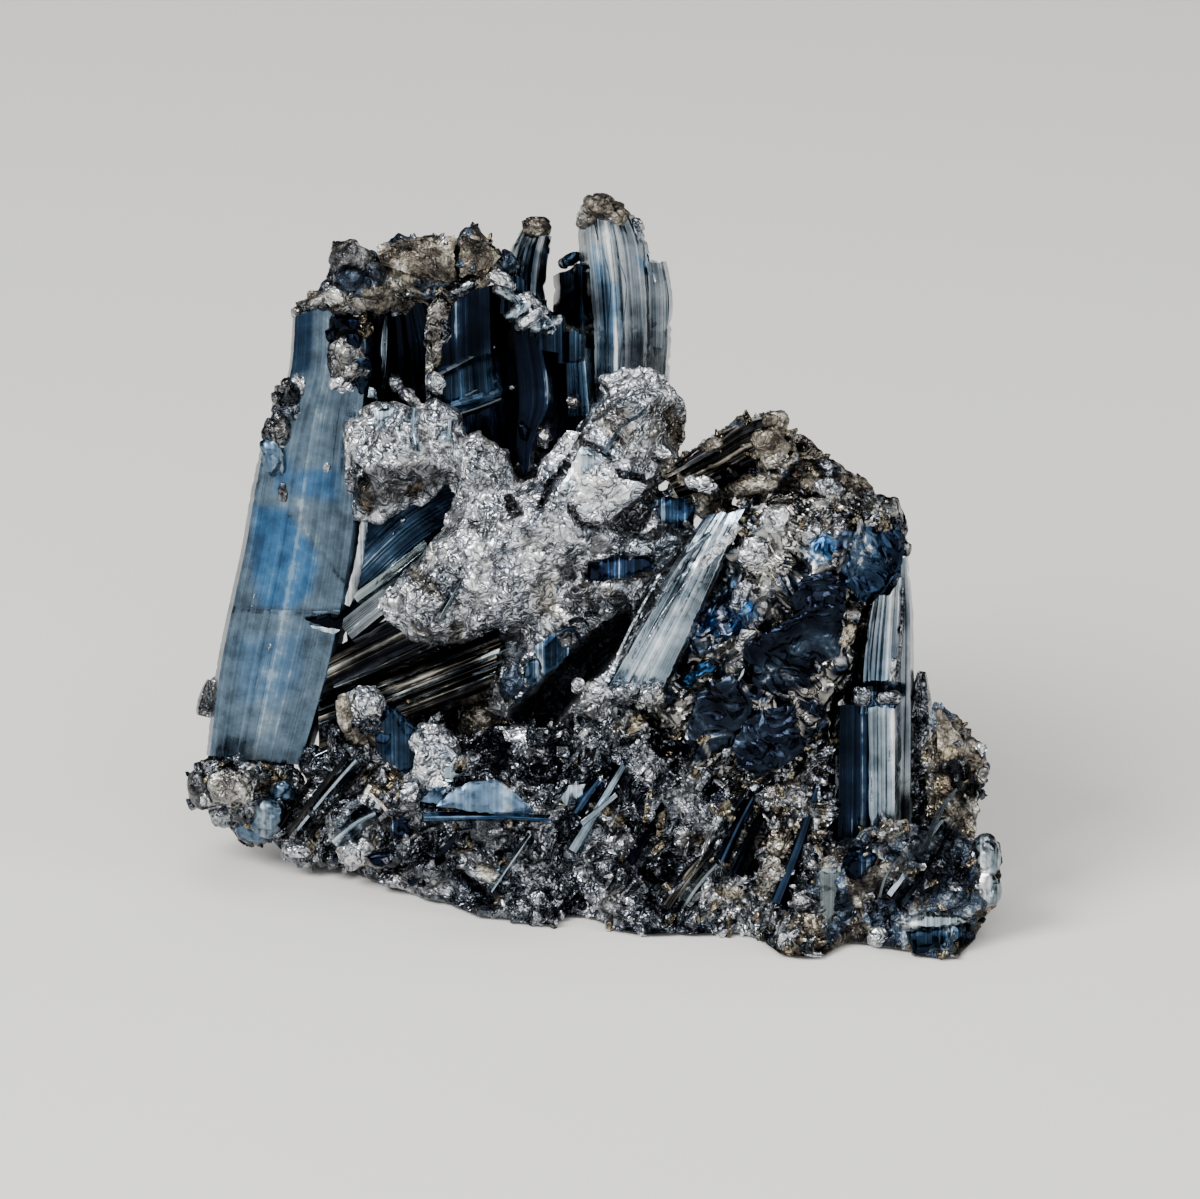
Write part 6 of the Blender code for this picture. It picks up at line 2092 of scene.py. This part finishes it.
@dataclass(frozen=True)
class GranularBase(Piece):
    """The sparkling lower mass of small prisms, which also closes the hidden back."""

    name: str = "granular_base_rough"
    nodes: tuple[str, ...] = ("granular_base",)
    slot: str = "grain_grey"
    finishes: Finishes = (
        GRAIN_GREY, DARK_MIRROR, BLUE_FACE, BRIGHT_CRUMPLE, PALE_STEEL, CRUST_TAN, DARK_LINED,)
    mass: CrumpledMass | None = CrumpledMass("granular_base", 0.35, (FacetField(3.4, 0.5, 0.5, 91, 0.35,
        0.15), FacetField(1.5, 0.45, 0.16, 92, 0.35, 0.04, 1.5, 62), FacetField(0.8, 0.35, 0.05, 93,
        0.35)), 0.65, 0.1)
    stains: Stains = (
        Stain("-185 192 -160 211 -146 192 -152 159 -174 162", 0.2),
        Stain("-174 116 -149 121 -146 102 -171 97", 0.15), Stain("-195 86 -157 91 -154 72 -190 72", 0.15),
        # The next two darken set-back hollows: painted shade.
        Stain("-89 165 -59 168 -21 159 -26 146 -64 151", 0.2, 0.4, 0.5),
        Stain("-75 165 -92 170 -70 179 -48 173", 0.1, 0.2, 0.7),
        Stain("12 65 29 93 60 99 56 65 22 45", 0.2, 0.4), Stain("141 79 175 99 172 65 151 48", 0.25, 0.4),
        Stain("182 133 202 130 199 106 182 113", 0.3, tint=1),
        # A deep set-back hollow darkened almost black: painted shade.
        Stain("-74 196 -67 211 -30 211 -30 198", 0.05, push=1.2),
        Stain("77 106 128 99 114 89 80 93", 0.4, tint=1),)
    seated: Seated = (
        Bar("123 72 150 123 179 170", 1.5, 0.5, 2.4, 1, 150, 1, 0.6),
        Bar("159 46 180 100 198 155", 1.8, 0.5, 2.4, 1, 151, 1, 0.6, 0.2),
        Bar("-15 90 8 128 30 165", 1.1, 0.5, 2, 4, 152, 1, 0.6),
        Bar("35 80 56 116 75 150", 1, 0.5, 2, 1, 153, 1, 0.6),
        Bar("75 50 93 83 110 115", 0.8, 0.5, 2, 3, 154, 1, 0.6),
        Bar("-85 55 -67 81 -50 105", 0.8, 0.7, 2, 4, 155, 1, 0.6),
        Bar("-155 60 -132 82 -110 108", 0.9, 0.7, 2, 1, 156, 1, 0.6),
        Plate("-187 198 -174 214 -146 198 -116 170 -130 159 -157 154 -179 170", 0.7, (0.12, 0.15), 3, 1,
            92, 0.5, 0.35, 0.3),
        Plate("-146 187 -122 179 -92 151 -122 143 -141 132 -152 159", 0.9, (0.05, -0.1), 3, 3, 93, 0.4,
            0.4),
        Knob("-192 213 16.9 15.9 16", ((1.4, 0.35, 0.15, 94), (0.5, 0.3, 0.04, 95)), 3, 0.4),
        Knob("-195 191 15.9 12 13", (0.9, 0.4, 0.15, 96), 5, 0.3),
        Knob("-209 207 6.6 16.4 11", (0.9, 0.4, 0.15, 97), 5, 0.3, turn=8),
        Knob("-133 179 21.9 16.9 16", ((1.2, 0.45, 0.2, 100), (0.5, 0.3, 0.05, 101)), 3, 0.4, 0.8, -30),
        Knob("-119 154 16.9 12.6 14", (1.4, 0.4, 0.18, 102), 4, 0.3, 0.75, -10),
        Plate("-130 129 -119 140 -103 149 -79 151 -62 139 -46 123 -75 121 -108 126", 1, (0.1, 0.35), 2.4,
            2, 103, 0.25, 0.1, 0.25),
        Plate("-146 132 -133 143 -120 142 -128 129", 0.9, (-0.3, 0.2), 2, 2, 104, 0.25, 0.08, 0.4),
        Plate("-124 136 -113 142 -116 129 -127 129", 1.4, (-0.6, 0.2), 1.6, 4, 105, wave=0.05),
        Bar("-141 119 -89 120 -33 118", 0.93, 0.8, 2, 6, 106, 1, 0.7, 1),
        Bar("-254 101 -226 135 -197 168", 1.2, 0.9, 2.4, 4, 107, 1, 0.9, relief=0.12),
        Bar("-260 102 -234 138 -205 173", 0.5, 0.6, 2, 6, 108, 1, 0.9, 0, 0.2),
        Bar("-243 98 -220 129 -191 162", 0.6, 0.6, 2, 6, 109, strip=0.2),
        Bar("-220 94 -201 110 -181 121", 1.42, 0.7, 2, 4, 110, 1, 0.8, 0, 0.4, 0.12),
        Bar("-267 108 -253 129 -239 151", 0.7, 0.5, 1.8, 6, 111, 1, 0.6),
        Bar("-236 129 -226 151 -220 165", 0.4, 0.5, 1.6, 4, 112, 1, 0.6),
        Bar("-189 138 -171 121", 0.3, 0.9, 1.4, 5, 113), Bar("-195 129 -187 146", 0.9, 0.7, 1.8, 3, 114),
        Bar("-183 125 -176 142", 0.5, 0.7, 1.6, 4, 115),
        Knob("-201 86 16.9 12 13", (1, 0.4, 0.15, 116), 3, 0.3, 0.85, 20, 0.2),
        Knob("-160 110 13.7 9.8 12", (1.2, 0.35, 0.12, 117), 1, 0.2, 0.8),
        Knob("-174 82 18 8.2 13", (1.2, 0.35, 0.12, 118), 1, 0.3, 0.8, 10),
        Knob("-253 88 10.9 7.1 10", (0.8, 0.35, 0.12, 119), 3, 0.3),
        Plate("-25 135 -18 146 -4 147 -8 132 -21 129", 1, (0.1, -0.2), 1.8, 4, 120, 0.15),
        Bar("-11 121 -1 136 10 151", 1.6, 1, 2.2, 1, 121, tint=0.3),
        Bar("-3 114 15 135", 0.9, 1.1, 2, 6, 122),
        Plate("-75 191 -53 196 -29 190 -30 178 -48 177 -72 183", 0.6, (0, 0.4), 1.8, 3, 123, 0.3, 0.3),
        Knob("-62 187 8.2 4.9 8", (0.7, 0.4, 0.1, 124), 4, -0.2, 0.8, 10),
        Knob("-94 198 18 16.4 14", (1, 0.4, 0.15, 125), 5, 0.3),
        Bar("-101 209 -89 225", 0.9, 0.6, 1.6, 4, 126, 1, 0.6, 1),
        Knob("-10 232 5.5 6.6 6", sunk=0.6, square=1, depth=9.5),
        Knob("-44 47 7.7 7.7 9", (0.8, 0.3, 0.08, 127), 3, 0.1, 0.7, 10),
        Knob("-86 69 11.5 6 8", (0.7, 0.35, 0.1, 128), 5, 0.1, turn=-30),
        Bar("-7 113 5 123 24 139", 0.9, 0.8, 1.8, 4, 129, tint=0.5),
        Bar("-5 139 12 147", 1.2, 0.7, 1.8, 1, 130, 1, 0.9, 0.8),
        Bar("65 43 83 69 104 93", 1.2, 0.7, 2, 6, 131, 0.9),
        Bar("77 40 94 65 109 82", 0.7, 0.8, 2, 4, 132, 0.75, tint=0.6),
        Knob("99 58 6.1 14.3 9", (0.7, 0.2, 0.06, 133), 3, -0.3, turn=-15),
        Bar("112 82 128 116 145 147", 1.3, 0.7, 2, 1, 134, 1, 0.7, 0.5),
        Bar("104 103 122 127 134 145", 0.5, 0.8, 1.6, 4, 135, 1, 0.7),
        Knob("153 139 5.1 6.8 7", turn=-20, tint=0.6), Knob("158 131 4.8 6.8 7", turn=-20, tint=0.6),
        Knob("150 129 4.1 6.1 7", tint=0.3), Knob("196 103 8.8 5.4 8", tint=0.9),
        Knob("187 79 5.4 4.8 7", tint=0.2), Knob("179 48 7.5 6.8 8", tint=0.3),
        Knob("182 28 13.6 9.5 9", (0.6, 0.4, 0.12, 136), 3, 0.1, tint=0.9),
        Knob("122 55 8.8 8.2 8", finish=0, square=0.75, tint=0.8), Knob("126 38 7.5 4.8 7"),
        Knob("155 65 13.6 20.4 10", (0.8, 0.4, 0.15, 137), 0, 0.3, tint=0.5),
        Knob("162 96 13.6 15 10", (0.7, 0.4, 0.15, 138), 0, 0.3, tint=0.7),)
    grains: Grains = (
        GrainField((-8, 2, 22, 22), 420, (0.9, 2.6), (0.5, 1.2), 62, 16, 0.25, True, 5, (0.35, 1), 0.12,
            0, 139),
        GrainField((-8, 1, 22, 20), 420, (0.4, 0.9), (0.4, 0.9), 62, 60, 0.4, True, 6, (0.6, 1), 0.1, 3,
            140),
        GrainField((-27, 6, -9, 20), 200, (0.8, 2.4), (0.5, 1.1), 60, 16, 0.25, True, 5, (0.35, 1), 0.1,
            0, 141),
        GrainField((10, 1, 24, 16), 380, (0.5, 1), (0.5, 1), 62, 40, 0.4, True, 6, (0.5, 1), 0.45, 3, 142),)


# -------------------- set


@dataclass(frozen=True)
class Softbox:
    """A soft area light that faces the specimen."""

    name: str
    place: tuple[float, float, float]
    size: tuple[float, float]
    power: float
    aim: tuple[float, float, float] = (0.0, 0.0, 0.03)

    def build(self) -> None:
        """Hangs the light."""
        light = bpy.data.lights.new(self.name, "AREA")
        light.shape = "RECTANGLE"
        light.size, light.size_y = self.size
        light.energy = self.power
        made = bpy.data.objects.new(self.name, light)
        made.location = self.place
        made.rotation_euler = (Vector(self.aim) - Vector(self.place)).to_track_quat(
            "-Z", "Y").to_euler()
        bpy.context.scene.collection.objects.link(made)


@dataclass(frozen=True)
class Studio:
    """A pale floor, soft light and a long lens that looks square at the display face."""

    SENSOR = 36.0  # the camera's sensor width, mm
    FLOOR_SIZE, FLOOR_GAP = 2.5, 0.00005  # half its width, and how far it lies below, m

    lens: float = 300.0
    frame_width: float = 102.0
    middle: tuple[float, float, float] = (0.85, 30.4, 14.0)
    softboxes: tuple[Softbox, ...] = (
        Softbox("front", (0.0, -1.25, 0.85), (1.5, 1.0), 18.5),
        Softbox("key", (-0.42, -0.4, 0.5), (0.34, 0.34), 9.0),
        Softbox("fill", (0.6, -0.3, 0.35), (0.3, 0.5), 2.5),
        Softbox("top", (0.0, 0.15, 0.8), (0.6, 0.5), 3.5),
    )

    def build(self) -> None:
        """Sets up floor, light and camera."""
        self._floor()
        for softbox in self.softboxes:
            softbox.build()
        world = bpy.data.worlds.new("studio")
        world.use_nodes = True
        world.node_tree.nodes["Background"].inputs["Color"].default_value = linear("#33363b")
        bpy.context.scene.world = world
        self._camera()

    def _floor(self) -> None:
        """A wide pale floor under the specimen."""
        shape = bmesh.new()
        bmesh.ops.create_grid(shape, x_segments=2, y_segments=2, size=self.FLOOR_SIZE)
        for vert in shape.verts:
            vert.co.z = -self.FLOOR_GAP
        mesh = bpy.data.meshes.new("floor")
        shape.to_mesh(mesh)
        shape.free()
        made = bpy.data.objects.new("floor", mesh)
        paper = bpy.data.materials.new("matt_paper_pale")
        paper.use_nodes = True
        shader = paper.node_tree.nodes["Principled BSDF"]
        shader.inputs["Base Color"].default_value = linear("#dedcd8")
        shader.inputs["Roughness"].default_value = 0.9
        mesh.materials.append(paper)
        bpy.context.scene.collection.objects.link(made)

    def _camera(self) -> None:
        """A camera square to the display face."""
        data = bpy.data.cameras.new("camera")
        data.sensor_width = self.SENSOR
        data.lens = self.lens
        distance = self.frame_width * MM * self.lens / data.sensor_width
        target = Vector(FACE.place(np.array([self.middle]))[0])
        made = bpy.data.objects.new("camera", data)
        towards = Vector((0, FACE.cosine, -FACE.sine))
        made.location = target - towards * distance
        made.rotation_euler = towards.to_track_quat("-Z", "Y").to_euler()
        bpy.context.scene.collection.objects.link(made)
        bpy.context.scene.camera = made


def main() -> None:
    """Builds every piece of the specimen, then the set."""
    logging.basicConfig(level=logging.INFO, format="%(message)s")
    library: dict[str, Material] = {}
    pieces: list[Piece] = [
        LeftBlade(), CrownCrust(), DarkBlades(), SmallColumn(), BackColumn(), TallColumn(),
        BrightCore(), WedgeBlade(), StriatedBundle(), RidgeCrystal(), PaleBlade(), RightBlock(),
        RightColumns(), CornerCrystals(), FootKnobs(), GranularBase(),
    ]
    total = 0
    for piece in pieces:
        made = piece.build(library)
        total += len(made.data.polygons)
    LOG.info("all pieces: %d faces", total)
    Studio().build()


if __name__ == "__main__":
    main()
